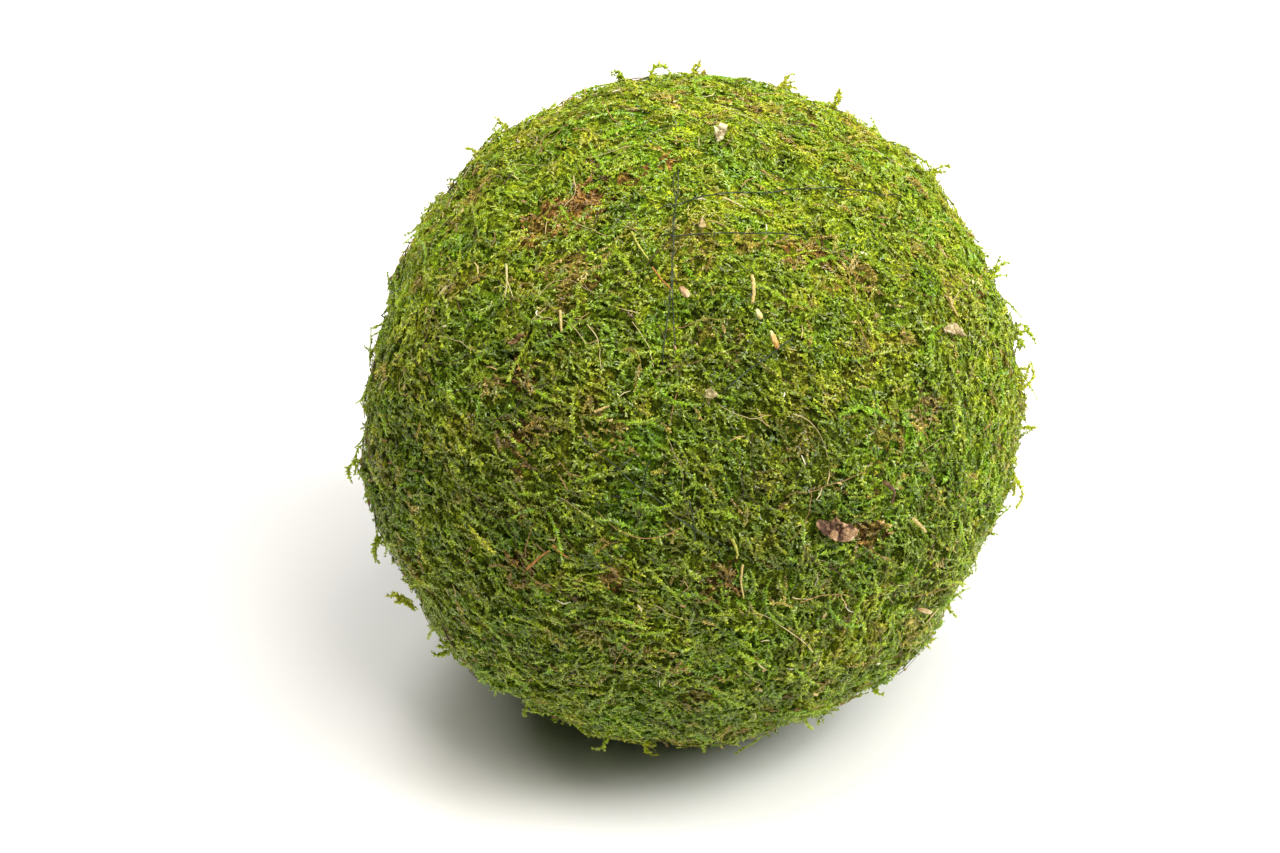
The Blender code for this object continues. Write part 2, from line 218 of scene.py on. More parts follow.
class Skin:
    """How far the moss tips reach from the ball's centre along any direction."""

    def __init__(self):
        globe = add_shape(bpy.ops.mesh.primitive_ico_sphere_add, subdivisions=SKIN_FINENESS, radius=1.0)
        directions = unit(take_points(globe))
        edges = np.empty(len(globe.data.edges) * 2, np.int64)
        globe.data.edges.foreach_get("vertices", edges)
        faces = [tuple(face.vertices) for face in globe.data.polygons]
        bpy.data.objects.remove(globe, do_unlink=True)
        raw = self.cast(node_tree("moss_ball", Vector()), CENTRE, directions)
        heights = self.opened(raw, edges.reshape(-1, 2))
        self.sprigs = self.peaks(directions, raw, heights)
        tree = BVHTree.FromPolygons([Vector(p) for p in directions * heights[:, None]], faces)
        self.grid = self.cast(tree, Vector(), self.grid_directions())
        self.grid = self.grid.reshape(SKIN_TALL, SKIN_ROUND)

    @staticmethod
    def cast(tree, start, directions):
        """Distance from a start to the outermost face of a tree along each direction."""
        found = []
        for direction in directions:
            way = Vector(direction)
            hit = tree.ray_cast(start + way * OUTSIDE, -way)
            found.append(OUTSIDE - hit[3])
        return np.array(found)

    @staticmethod
    def opened(heights, edges):
        """Heights with narrow sprigs taken off and broad tufts kept."""
        for combine in (np.minimum, np.maximum):
            for _ in range(SPRIG_EDGES):
                spread = heights.copy()
                combine.at(spread, edges[:, 0], heights[edges[:, 1]])
                combine.at(spread, edges[:, 1], heights[edges[:, 0]])
                heights = spread
        return heights

    @staticmethod
    def peaks(directions, raw, heights):
        """Root and tip of each sprig that stands out of the skin, as offsets from the centre."""
        found = []
        left = raw - heights > SPRIG_HEIGHT
        while left.any():
            top = np.argmax(np.where(left, raw, 0.0))
            apart = np.linalg.norm(directions - directions[top], axis=1)
            near = left & (apart < SPRIG_SPACING / BALL_RADIUS)
            root = unit(directions[near].mean(0))
            if near.sum() > 1:
                found.append((root * heights[near].mean(), directions[top] * raw[top]))
            left &= ~near
        return found

    @staticmethod
    def grid_directions():
        """Direction of each cell's middle, row by row from the top pole."""
        tall = (np.arange(SKIN_TALL) + 0.5) / SKIN_TALL * math.pi
        turn = np.arange(SKIN_ROUND) / SKIN_ROUND * 2.0 * math.pi
        tall, turn = np.meshgrid(tall, turn, indexing="ij")
        return np.stack(
            [np.sin(tall) * np.cos(turn), np.sin(tall) * np.sin(turn), np.cos(tall)], -1
        ).reshape(-1, 3)

    def reach(self, directions):
        """Smoothly read heights for an array of unit directions."""
        row = np.arccos(np.clip(directions[..., 2], -1.0, 1.0)) / math.pi * SKIN_TALL - 0.5
        row = np.clip(row, 0.0, SKIN_TALL - 1.001)
        column = np.arctan2(directions[..., 1], directions[..., 0]) / (2.0 * math.pi) * SKIN_ROUND
        top, left = np.floor(row).astype(int), np.floor(column).astype(int)
        down, across = row - top, column - left
        left, right = left % SKIN_ROUND, (left + 1) % SKIN_ROUND
        above = self.grid[top, left] * (1.0 - across) + self.grid[top, right] * across
        below = self.grid[top + 1, left] * (1.0 - across) + self.grid[top + 1, right] * across
        return above * (1.0 - down) + below * down


SKIN = Skin()

# Finishes


class Value:
    """A shader socket that takes part in Python arithmetic."""

    def __init__(self, finish, socket):
        self.finish = finish
        self.socket = socket

    def maths(self, operation, first, second):
        """Math node on two numbers or values."""
        return self.finish.node("ShaderNodeMath", {"operation": operation}, {0: first, 1: second})

    def __add__(self, other):
        return self.maths("ADD", self, other)

    def __radd__(self, other):
        return self.maths("ADD", other, self)

    def __sub__(self, other):
        return self.maths("SUBTRACT", self, other)

    def __rsub__(self, other):
        return self.maths("SUBTRACT", other, self)

    def __mul__(self, other):
        return self.maths("MULTIPLY", self, other)

    def __rmul__(self, other):
        return self.maths("MULTIPLY", other, self)

    def __pow__(self, other):
        return self.maths("POWER", self, other)


class Finish:
    """One Principled material and the nodes that feed it."""

    def __init__(self, name, **constants):
        self.material = bpy.data.materials.new(name)
        self.material.use_nodes = True
        self.tree = self.material.node_tree
        self.shader = self.tree.nodes["Principled BSDF"]
        for socket, value in constants.items():
            self.shader.inputs[socket.replace("_", " ")].default_value = value

    def node(self, kind, settings=None, sockets=None, output=0):
        """Add a node with its settings and the values or links of its sockets."""
        made = self.tree.nodes.new(kind)
        for name, value in (settings or {}).items():
            if name == "stops":
                self.set_stops(made.color_ramp, value)
            else:
                setattr(made, name, value)
        for name, value in (sockets or {}).items():
            if isinstance(value, Value):
                self.tree.links.new(value.socket, made.inputs[name])
            else:
                made.inputs[name].default_value = value
        return Value(self, made.outputs[output])

    @staticmethod
    def set_stops(ramp, stops):
        """Give a colour ramp its stops."""
        while len(ramp.elements) > 1:
            ramp.elements.remove(ramp.elements[-1])
        for number, (place, colour) in enumerate(stops):
            stop = ramp.elements[0] if number == 0 else ramp.elements.new(place)
            stop.position = place
            stop.color = (*colour, 1.0)

    def ramp(self, factor, stops):
        """Colour read along a ramp."""
        return self.node("ShaderNodeValToRGB", {"stops": stops}, {"Fac": factor})

    def sine(self, angle):
        """Sine of a value."""
        return self.node("ShaderNodeMath", {"operation": "SINE"}, {0: angle})

    def scaled(self, colour, factor):
        """Colour made lighter or darker by a value."""
        settings = {"operation": "SCALE"}
        return self.node("ShaderNodeVectorMath", settings, {0: colour, "Scale": factor})

    def place(self):
        """Point on the piece, in its own coordinates."""
        return self.node("ShaderNodeTexCoord", output=3)

    def own_map(self):
        """The two numbers of a piece's own map: across it, and up it."""
        place = self.node("ShaderNodeUVMap", {"uv_map": LEAF_MAP})
        return tuple(self.node("ShaderNodeSeparateXYZ", {}, {0: place}, output) for output in (0, 1))

    def noise(self, scale, detail=3.0, output=0, place=None):
        """Noise over the piece, in bumps to a metre."""
        sockets = {"Vector": place or self.place(), "Scale": scale, "Detail": detail}
        return self.node("ShaderNodeTexNoise", {}, sockets, output)

    def shifted(self, place, distance, scale):
        """A place moved about by noise, by up to a distance."""
        wander = self.node("ShaderNodeVectorMath", {"operation": "SUBTRACT"},
                           {0: self.noise(scale, 2.0, 1), 1: (0.5, 0.5, 0.5)})
        wander = self.scaled(wander, 4.0 * distance)
        return self.node("ShaderNodeVectorMath", {"operation": "ADD"}, {0: place, 1: wander})

    def cells(self, place, scale):
        """Random number from 0 to 1 for each of many small cells, so many to a metre."""
        cell = self.node("ShaderNodeTexVoronoi", {}, {"Vector": place, "Scale": scale}, output=1)
        return self.node("ShaderNodeSeparateXYZ", {}, {0: cell})

    def feed(self, socket, value):
        """Link a value to the shader."""
        self.tree.links.new(value.socket, self.shader.inputs[socket])

    def bump(self, height, strength, distance):
        """Bump the surface by a height."""
        sockets = {"Strength": strength, "Distance": distance, "Height": height}
        self.feed("Normal", self.node("ShaderNodeBump", {}, sockets))


def moss_stops():
    """The moss palette, with the colours that the settings hold."""
    settings = bpy.context.scene.moss_settings
    return (
        (HOLLOW, (0.022, 0.028, 0.010)),
        (SHADE, (0.078, 0.108, 0.016)),
        (VIVID, settings.vivid),
        (FERN, settings.fern),
        (MOSS, settings.moss),
        (LIME, settings.lime),
        (GOLD, (0.380, 0.395, 0.022)),
        (OLIVE, (0.300, 0.275, 0.030)),
        (TAN, settings.tan),
        (BROWN, settings.brown),
        (RUSSET, (0.390, 0.190, 0.045)),
    )


def moss_colour(finish):
    """Colour read off a piece's own map: tint across the palette, and lightness up it."""
    tint, light = finish.own_map()
    light = light * (1.0 / LIGHT_FIT)
    # Painted shade of the folds and clefts on each leaf
    fold_shade = finish.sine(light * FOLD_TURN) * FOLD_DEPTH + finish.sine(tint * CLEFT_TURN) * CLEFT_DEPTH
    strength = (LIGHT_LEAST + light ** LIGHT_POWER * LIGHT_GAIN) * (fold_shade + 1.0)
    return finish.scaled(finish.ramp(tint, moss_stops()), strength)


def leaf_finish():
    """Finish of the leaves: a slight gloss, a yellow sheen, and some light let through."""
    finish = Finish(
        "moss_leaves", Roughness=0.36, Specular_IOR_Level=0.5,
        Sheen_Weight=0.45, Sheen_Roughness=0.4, Sheen_Tint=(0.95, 0.92, 0.10, 1.0),
        Subsurface_Weight=0.5, Subsurface_Scale=0.0004, Subsurface_Radius=(0.9, 1.0, 0.2),
    )
    finish.feed("Base Color", moss_colour(finish))
    return finish


def bed_finish():
    """Finish of the old moss under the shoots, flecked by its small leaves."""
    finish = Finish("old_moss", Roughness=0.95, Specular_IOR_Level=0.1)
    place = finish.shifted(finish.place(), 0.0006, 800.0)
    flecks = finish.cells(place, 2600.0) ** 2.0 * 0.80 + finish.noise(4800.0, 2.0) * 0.30
    finish.feed("Base Color", finish.scaled(moss_colour(finish), 0.10 + flecks * 2.20))
    finish.bump(flecks, 0.7, 0.0005)
    return finish


# Meshes from arrays


class Form:
    """Triangles of many small leaves: points, faces, and what each face takes of the palette.

    Corners hold each face corner's own small shift of tint and light, and shade the light of
    the leaf that a face belongs to.
    """

    def __init__(self, points, faces, corners, shade):
        self.points = points
        self.faces = faces
        self.corners = corners
        self.shade = shade

    @staticmethod
    def joined(forms):
        """Several forms as one."""
        starts = np.cumsum([0] + [len(form.points) for form in forms])
        return Form(
            np.concatenate([form.points for form in forms]),
            np.concatenate([form.faces + start for form, start in zip(forms, starts)]),
            np.concatenate([form.corners for form in forms]),
            np.concatenate([form.shade for form in forms]),
        )

    def built(self, name):
        """The form as an object with its map, and with nothing under the ground it stands on."""
        points = self.points.copy()
        points[:, 2] = np.maximum(points[:, 2], FLOOR_GAP)
        data = bpy.data.meshes.new(name)
        data.vertices.add(len(points))
        data.vertices.foreach_set("co", points.astype(np.float32).ravel())
        data.loops.add(self.faces.size)
        data.loops.foreach_set("vertex_index", self.faces.astype(np.int32).ravel())
        data.polygons.add(len(self.faces))
        data.polygons.foreach_set("loop_start", np.arange(0, self.faces.size, 3, dtype=np.int32))
        layer = data.uv_layers.new(name=LEAF_MAP)
        layer.uv.foreach_set("vector", self.corners.astype(np.float32).ravel())
        data.update(calc_edges=True)
        data.shade_flat()
        item = bpy.data.objects.new(name, data)
        bpy.context.collection.objects.link(item)
        return item


# A pair of leaves is one closed kite: the rib's two ends, then the left and the right tip. Each corner of
# a face has its own light and tint on top of the shoot's, so that a leaf is lighter at its tip and darker
# at its base, which is painted shade deeper in the shoot
PAIR_FACES = np.array([(0, 1, 2), (1, 0, 3), (1, 3, 2), (0, 2, 3)])
PAIR_LIGHT = np.array([(-0.06, 0.10, 0.46), (0.00, -0.10, 0.26), (0.00, 0.22, 0.38), (-0.06, 0.22, 0.26)])
PAIR_TINT = np.array([
    (-0.008, 0.008, 0.0), (0.008, -0.008, 0.0), (0.008, -0.004, 0.0), (-0.008, 0.0, 0.006),
])
PAIR_CORNERS = np.stack([PAIR_TINT, (PAIR_LIGHT + 0.06) * LIGHT_FIT], -1)

# How pairs swell along a stem: least size, what the middle adds, and where the swell starts and ends
SHOOT_SWELL = (0.62, 0.55, 0.7, 0.5)
SPRIG_SWELL = (0.55, 0.60, 0.8, 0.6)

# Leaves of a pair: mean and scatter of their angle to the stem, least and most reach as a share of
# their size, how far the rib's two ends lift, and how far the tips hang
LEAF_SPREAD = (0.72, 0.26)
LEAF_REACH = (0.75, 1.2)
RIB_LIFTS = (0.10, 0.22)
TIP_HANG = 0.22

# Shoots: pair spacing, how far pairs turn about the stem, how far stems bend, and mean and scatter of
# how they curl up
LEAF_SPACING = 0.00044
SHOOT_BUSH = 0.6
SHOOT_BEND = 0.60
SHOOT_CURL = (0.10, 0.24)

# Branches of a shoot: their share of its length and of its pairs, least and most angle, and mean and
# scatter of how they curl up
BRANCH_LENGTH = 0.38
BRANCH_PAIRS = 0.35
BRANCH_ANGLE = (0.6, 1.0)
BRANCH_CURL = (0.10, 0.2)

# How far the leaves of a shoot differ in lightness, and the share and lightness of the brightest, which
# are painted glints
LEAF_SHADE = 0.12
GLINT_SHARE = 0.07
GLINT_LIGHT = 0.26


def on_map(tint, light):
    """Places on the palette map of leaves with a tint and a light."""
    return np.stack([np.clip(tint, *TINT_RANGE), np.clip(light, *LIGHT_RANGE) * LIGHT_FIT], -1)


def leaf_pair(rng, start, end, roll, size):
    """Corner points of one pair of leaves that grows between two points of a stem."""
    forward = unit(end - start)
    side = unit(np.cross((0.0, 0.0, 1.0), forward) + 1e-6)
    up = np.cross(forward, side)
    across = side * math.cos(roll) + up * math.sin(roll)
    over = up * math.cos(roll) - side * math.sin(roll)
    points = [place + over * lift * size for place, lift in zip((start, end), RIB_LIFTS)]
    for hand in (1.0, -1.0):
        spread = rng.normal(*LEAF_SPREAD)
        reach = size * rng.uniform(*LEAF_REACH)
        outward = forward * math.cos(spread) + across * hand * math.sin(spread)
        points.append((start + end) * 0.5 + outward * reach - over * TIP_HANG * size)
    return np.array(points)


def stem_line(length, bend, curl, count):
    """Points of a curved stem along x: bend turns it sideways and curl lifts its tip."""
    share = np.linspace(0.0, 1.0, count + 1)
    heading = bend * share
    steps = np.stack([np.cos(heading), np.sin(heading), curl * share], -1) * length / count
    return np.concatenate([np.zeros((1, 3)), np.cumsum(steps[:-1], 0)])


def turned(points, angle, place):
    """Points turned about z and moved to a place."""
    cosine, sine = math.cos(angle), math.sin(angle)
    turn = np.array([(cosine, sine, 0.0), (-sine, cosine, 0.0), (0.0, 0.0, 1.0)])
    return points @ turn + place


def leaf_pairs(rng, line, size, swell, bush):
    """Points of the leaf pairs along a stem: they turn about it, and are smaller towards its ends."""
    least, more, root, tip = swell
    count = len(line) - 1
    pairs = []
    for number in range(count):
        full = least + more * math.sin(math.pi * (number + root) / (count + tip))
        roll = rng.normal(0.0, bush)
        pairs.append(leaf_pair(rng, line[number], line[number + 1], roll, size * full))
    return pairs


def pair_faces(count):
    """Faces of a number of leaf pairs, and the corners' own shifts on the palette map."""
    faces = (PAIR_FACES[None] + 4 * np.arange(count)[:, None, None]).reshape(-1, 3)
    return faces, np.tile(PAIR_CORNERS, (count, 1, 1))


def shoot_form(rng, length, size, branches):
    """A leafy shoot along x, with side branches where there are any."""
    pairs = int(length / LEAF_SPACING)
    main = stem_line(length, rng.normal(0.0, SHOOT_BEND), rng.normal(*SHOOT_CURL), pairs)
    lines = [main]
    for branch in range(branches):
        root = main[int((0.2 + 0.6 * (branch + 0.5) / branches) * pairs)]
        count = max(3, int(pairs * BRANCH_PAIRS))
        angle = (1.0 if branch % 2 else -1.0) * rng.uniform(*BRANCH_ANGLE)
        twig = stem_line(length * BRANCH_LENGTH, -angle * 0.5, rng.normal(*BRANCH_CURL), count)
        lines.append(turned(twig, angle, root))
    leaves = []
    for line in lines:
        leaves += leaf_pairs(rng, line, size, SHOOT_SWELL, SHOOT_BUSH)
    count = len(leaves)
    points = np.concatenate(leaves)
    points[:, 0] -= 0.5 * length
    faces, corners = pair_faces(count)
    shade = rng.normal(0.0, LEAF_SHADE, count)
    # Painted glints: a few leaf pairs much lighter
    shade = shade + np.where(rng.uniform(0.0, 1.0, count) < GLINT_SHARE, GLINT_LIGHT, 0.0)
    return Form(points, faces, corners, np.repeat(shade, len(PAIR_FACES)))


def spread_directions(count, rng, jitter):
    """Directions spread evenly over the ball, each moved a little at random."""
    number = np.arange(count) + 0.5
    height = 1.0 - 2.0 * number / count
    turn = math.pi * (1.0 + math.sqrt(5.0)) * number
    flat = np.sqrt(1.0 - height ** 2)
    spots = np.stack([flat * np.cos(turn), flat * np.sin(turn), height], -1)
    step = math.sqrt(4.0 * math.pi / count)
    return unit(spots + rng.normal(0.0, jitter * step, spots.shape))


def field(directions, scale, seed):
    """Smooth noise read at directions, about -1 to 1, with features of a size in metres."""
    offset = Vector((seed * 7.3, seed * -3.1, seed * 1.7))
    factor = BALL_RADIUS / scale
    return np.array([noise.noise(Vector(spot) * factor + offset) for spot in directions])


# How warm the moss is from place to place, and the tint that it then has
WARMTH_STEPS = (-0.75, -0.35, 0.00, 0.22, 0.36, 0.52, 0.70, 0.98)
WARMTH_TINTS = (VIVID, FERN, MOSS, LIME, GOLD, OLIVE, TAN, BROWN)
DRY_SHARE = 0.07

# Noises that the warmth adds up: the size of their features, their seed and their share. Then its level,
# what the lit side adds as painted light, a yellower tint where the lamps shine, and how far it differs
# from shoot to shoot
WARMTH_NOISES = ((0.016, 3, 0.38), (0.0050, 6, 0.54), (0.0026, 9, 0.26))
WARMTH_LEVEL = -0.04
WARMTH_LIT_SIDE = 0.09
WARMTH_CHANCE = 0.12

# Lightness of the moss: on the whole, from place to place, from shoot to shoot, a metre further out as
# painted shade that darkens where the clumps dip, in the hollows as painted shade, from a warmth on, and
# towards the lit side as painted light, lighter towards the top and back and a little lighter on the lower
# side that the floor lights
MOSS_LIGHT = 0.28
LIGHT_NOISES = ((0.026, 1, 0.12), (0.007, 2, 0.08))
LIGHT_CHANCE = 0.045
RELIEF_SHADE = 55.0
HOLLOW_SHADE = 0.22
WARM_FROM = 0.4
WARM_SHADE = 0.04
LIT_SIDE_STEPS = (-0.9, -0.6, -0.3, 0.1, 0.4, 0.8)
LIT_SIDE_LIGHT = (0.05, 0.03, -0.04, -0.04, 0.07, 0.18)

# How fast a patch fades outwards, the share of its shoots that belong to it in its middle, and how far
# their tints differ
PATCH_FALL = 1.1
PATCH_SHARE = 0.90
PATCH_TINTS = 0.04

# Patches that the photo shows: pixel, radius in pixels, tint or None where it stays, lightness change. The
# lightness changes are mostly painted light and shade: lifts that paint the brighter light along the
# outline, and darkenings that paint shade in dark hollows
PATCHES = (
    ((432, 240), 64, None, 0.20),
    ((392, 312), 48, None, 0.14),
    ((995, 470), 62, None, 0.24),
    ((958, 570), 44, None, 0.14),
    ((660, 300), 30, None, 0.14),
    ((822, 425), 46, None, -0.12),
    ((490, 387), 20, None, -0.09),
    ((590, 540), 22, None, -0.09),
    ((560, 450), 22, None, -0.09),
    ((650, 93), 16, None, -0.14),
    ((545, 205), 18, RUSSET, 0.00),
    ((566, 197), 19, RUSSET, -0.02),
    ((590, 188), 19, RUSSET, 0.00),
    ((624, 172), 14, BROWN, 0.04),
    ((657, 152), 13, RUSSET, 0.03),
    ((528, 225), 17, BROWN, 0.10),
    ((568, 264), 23, TAN, 0.02),
    ((632, 198), 14, FERN, -0.08),
    ((572, 132), 20, VIVID, 0.02),
    ((640, 118), 26, VIVID, 0.04),
    ((668, 91), 18, TAN, 0.00),
    ((748, 96), 14, BROWN, -0.22),
    ((780, 103), 18, OLIVE, 0.02),
    ((810, 112), 16, OLIVE, 0.02),
    ((855, 157), 19, OLIVE, 0.00),
    ((470, 182), 19, TAN, 0.06),
    ((450, 240), 16, VIVID, 0.04),
    ((690, 230), 22, OLIVE, -0.02),
    ((795, 255), 14, BROWN, 0.00),
    ((825, 248), 18, BROWN, -0.05),
    ((868, 272), 15, TAN, 0.00),
    ((920, 242), 18, OLIVE, -0.03),
    ((986, 289), 15, TAN, 0.00),
    ((868, 353), 12, OLIVE, 0.02),
    ((934, 404), 17, TAN, -0.02),
    ((885, 438), 20, OLIVE, -0.02),
    ((782, 398), 14, LIME, 0.12),
    ((740, 470), 12, LIME, 0.10),
    ((780, 425), 16, FERN, -0.10),
    ((376, 415), 18, VIVID, 0.12),
    ((400, 460), 18, FERN, -0.10),
    ((490, 350), 13, FERN, -0.20),
    ((512, 372), 16, BROWN, -0.03),
    ((563, 312), 18, OLIVE, -0.12),
    ((614, 432), 13, TAN, 0.04),
    ((620, 510), 22, VIVID, -0.04),
    ((627, 552), 17, FERN, 0.00),
    ((592, 562), 15, FERN, -0.14),
    ((520, 575), 17, BROWN, 0.02),
    ((608, 584), 13, BROWN, 0.04),
    ((720, 585), 18, BROWN, -0.02),
    ((585, 640), 20, OLIVE, -0.02),
    ((820, 670), 18, LIME, 0.06),
    ((826, 508), 14, FERN, -0.26),
    ((873, 530), 18, BROWN, 0.00),
    ((985, 528), 14, GOLD, 0.08),
    ((911, 639), 16, OLIVE, 0.00),
    ((705, 331), 14, OLIVE, 0.04),
    ((748, 239), 14, OLIVE, 0.00),
    ((699, 702), 16, OLIVE, 0.00),
    ((509, 444), 15, BROWN, -0.08),
)


# Height and width of the broad and of the small clumps, and the hollows' depth, width and rarity
BROAD_CLUMPS = (0.0008, 0.0050)
SMALL_CLUMPS = (0.0004, 0.0024)
HOLLOW_DEPTH = 0.0016
HOLLOW_WIDTH = 0.0044
HOLLOW_RARITY = 0.20


def hollows(directions):
    """How deep each direction lies in a gap between the clumps, from 0 to about 0.5."""
    return np.clip(field(directions, HOLLOW_WIDTH, 14) - HOLLOW_RARITY, 0.0, 1.0)


def moss_relief(directions):
    """Rise and fall of the small clumps that the shoots make, in metres."""
    (broad, broad_width), (small, small_width) = BROAD_CLUMPS, SMALL_CLUMPS
    clumps = broad * field(directions, broad_width, 11) + small * field(directions, small_width, 12)
    return clumps - HOLLOW_DEPTH * hollows(directions)


def layered(directions, noises):
    """Several noises added up, each given by the size of its features, its seed and its share."""
    return sum(share * field(directions, scale, seed) for scale, seed, share in noises)


def moss_tints(directions, rng, jitter):
    """Tint and lightness of the moss at each direction."""
    count = len(directions)
    lit_side = directions @ np.array(LIT_SIDE_WAY)
    # Painted light: the moss is yellower towards the lit side
    warmth = layered(directions, WARMTH_NOISES) + WARMTH_LEVEL + WARMTH_LIT_SIDE * lit_side
    warmth = warmth + rng.normal(0.0, WARMTH_CHANCE, count) * jitter
    tint = np.interp(warmth, WARMTH_STEPS, WARMTH_TINTS)
    dry = rng.uniform(0.0, 1.0, count) < DRY_SHARE * jitter
    tint = np.where(dry, rng.choice((OLIVE, TAN, BROWN), count), tint)
    # Painted shade: lighter on the clumps and darker where they dip
    light = MOSS_LIGHT + layered(directions, LIGHT_NOISES) + RELIEF_SHADE * moss_relief(directions)
    light = light + rng.normal(0.0, LIGHT_CHANCE, count) * jitter
    # Painted shade: darker in the hollows between the clumps
    light = light - HOLLOW_SHADE * hollows(directions)
    # Painted light: lighter towards the top and back, and a little lighter on the lower side
    light = light + np.interp(lit_side, LIT_SIDE_STEPS, LIT_SIDE_LIGHT)
    light = light - WARM_SHADE * np.clip(warmth - WARM_FROM, 0.0, 1.0)
    for pixel, radius, colour, lift in PATCHES:
        centre = np.array(photo_direction(pixel))
        apart = np.linalg.norm(directions - centre, axis=-1) * DISC_RADIUS / radius
        inside = rng.uniform(0.0, 1.0, count) < np.exp(-apart ** 2 * PATCH_FALL) * PATCH_SHARE
        if colour is not None:
            tint = np.where(inside, colour + rng.normal(0.0, PATCH_TINTS, count), tint)
        # Painted light and shade of the patches
        light = np.where(inside, light + lift, light)
    return tint, light


def pressed_copies(form, directions, headings, pitch, sink, tint, light):
    """Copies of a form laid on the ball, each following the skin under it."""
    along, across, over = form.points.T[:, None]
    flat = along * np.cos(pitch)[:, None] - over * np.sin(pitch)[:, None]
    rise = along * np.sin(pitch)[:, None] + over * np.cos(pitch)[:, None] - sink[:, None]
    beside = np.cross(directions, headings)
    spots = (
        directions[:, None]
        + (flat[..., None] * headings[:, None] + across[..., None] * beside[:, None]) / BALL_RADIUS
    )
    spots = unit(spots)
    lift = moss_relief(directions)[:, None]
    points = CENTRE_POINT + spots * (SKIN.reach(spots) + rise + lift)[..., None]
    count = len(directions)
    step = len(form.points) * np.arange(count)[:, None, None]
    height = rise[:, form.faces].mean(-1)
    # Painted shade: a leaf lower in the moss is darker
    base = light[:, None] + form.shade + HEIGHT_SHADE * height
    # Painted light: a green leaf further out is yellower, as if lit through
    glow_yellowing = np.clip(HEIGHT_GLOW * height, -0.5 * HEIGHT_GLOW_MOST, HEIGHT_GLOW_MOST)
    green = (tint < LIME)[:, None]
    middle = on_map(tint[:, None] + np.where(green, glow_yellowing, 0.0), base)
    corners = form.corners[None] + middle[:, :, None]
    return Form(
        points.reshape(-1, 3), (form.faces[None] + step).reshape(-1, 3),
        corners.reshape(-1, 3, 2), base.ravel(),
    )


def headings_at(directions, rng, jitter):
    """Directions in which the shoots lie: combed one way, in swirls, and then tousled."""
    swirl = COMB_ANGLE + field(directions, SWIRL_SIZE, 5) * SWIRL_TURN
    swirl = swirl + rng.normal(0.0, jitter, len(directions))
    swirl = swirl + math.pi * rng.integers(0, 2, len(directions))
    level = unit(np.cross(np.array(PICTURE_UP), directions))
    other = np.cross(directions, level)
    return level * np.cos(swirl)[:, None] + other * np.sin(swirl)[:, None]


# Thread

# Turns of thread and sides of each solid, how far the thread lies inside it, above the moss where it
# shows and under the moss elsewhere, and how far it waves and how long a wave is
THREAD_TURNS = 6
THREAD_SIDES = 4
THREAD_SUNK = 0.0004
THREAD_RISE = 0.0004
THREAD_BURIED = 0.0014
THREAD_WAVE = 0.00022
THREAD_WAVE_LENGTH = 0.0035

# Thread in front shows as in the picture, and behind it shows and dives by chance: where the front
# ends, and the size of a dive
THREAD_FRONT = 0.2
THREAD_DIVE = 0.022

# Shoots this near to thread that shows are pressed down this deep, but for the share that cross it
PRESS_WIDTH = 0.0016
PRESS_DEPTH = 0.0011
CROSSING_SHARE = 0.4

# Stretches of thread that show, from pixel to pixel, and how far to their sides in pixels
THREAD_SHOWN = (
    ((700, 193), (893, 190)),
    ((680, 229), (790, 232)),
    ((678, 176), (673, 318)),
    ((674, 200), (664, 350)),
    ((731, 385), (785, 344)),
    ((590, 442), (724, 549)),
)
THREAD_SHOWN_WIDTH = 9.0


def thread_line(number):
    """Offsets from the ball's centre along a turn of thread, once round, from its solid."""
    points = np.unique(np.round(take_points(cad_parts[f"thread_turn_{number}"]), 7), axis=0)
    points = points - CENTRE_POINT
    middle = points.mean(0)
    axes = np.linalg.svd(points - middle)[2]
    turn = np.arctan2((points - middle) @ axes[1], (points - middle) @ axes[0])
    points = points[np.argsort(turn)]
    best = None
    for shift in range(THREAD_SIDES):
        rings = np.roll(points, shift, 0).reshape(-1, THREAD_SIDES, 3)
        width = rings.std(1).sum()
        if best is None or width < best[0]:
            best = (width, rings.mean(1))
    return best[1]


def between(before, first, second, after, share):
    """Point a share of the way from a first to a second, on a smooth curve through all four."""
    return 0.5 * (
        2.0 * first + (second - before) * share
        + (2.0 * before - 5.0 * first + 4.0 * second - after) * share ** 2
        + (3.0 * first - before - 3.0 * second + after) * share ** 3
    )


def smooth_loop(points, cuts):
    """A closed row of points with a smooth curve of further points between them."""
    before, after, beyond = np.roll(points, 1, 0), np.roll(points, -1, 0), np.roll(points, -2, 0)
    rows = [between(before, points, after, beyond, share) for share in np.arange(cuts) / cuts]
    return np.stack(rows, 1).reshape(-1, 3)


def smooth_line(points, cuts):
    """An open row of points with a smooth curve of further points between them."""
    padded = np.concatenate([[2 * points[0] - points[1]], points, [2 * points[-1] - points[-2]]])
    rows = []
    for start in range(len(points) - 1):
        rows += [between(*padded[start:start + 4], share) for share in np.arange(cuts) / cuts]
    return np.array(rows + [points[-1]])


def near_stretch(places, first, last):
    """Distance in pixels of places in the picture from a straight stretch."""
    first, last = np.array(first, float), np.array(last, float)
    along = last - first
    share = np.clip((places - first) @ along / (along @ along), 0.0, 1.0)
    return np.linalg.norm(places - first - share[:, None] * along, axis=1)


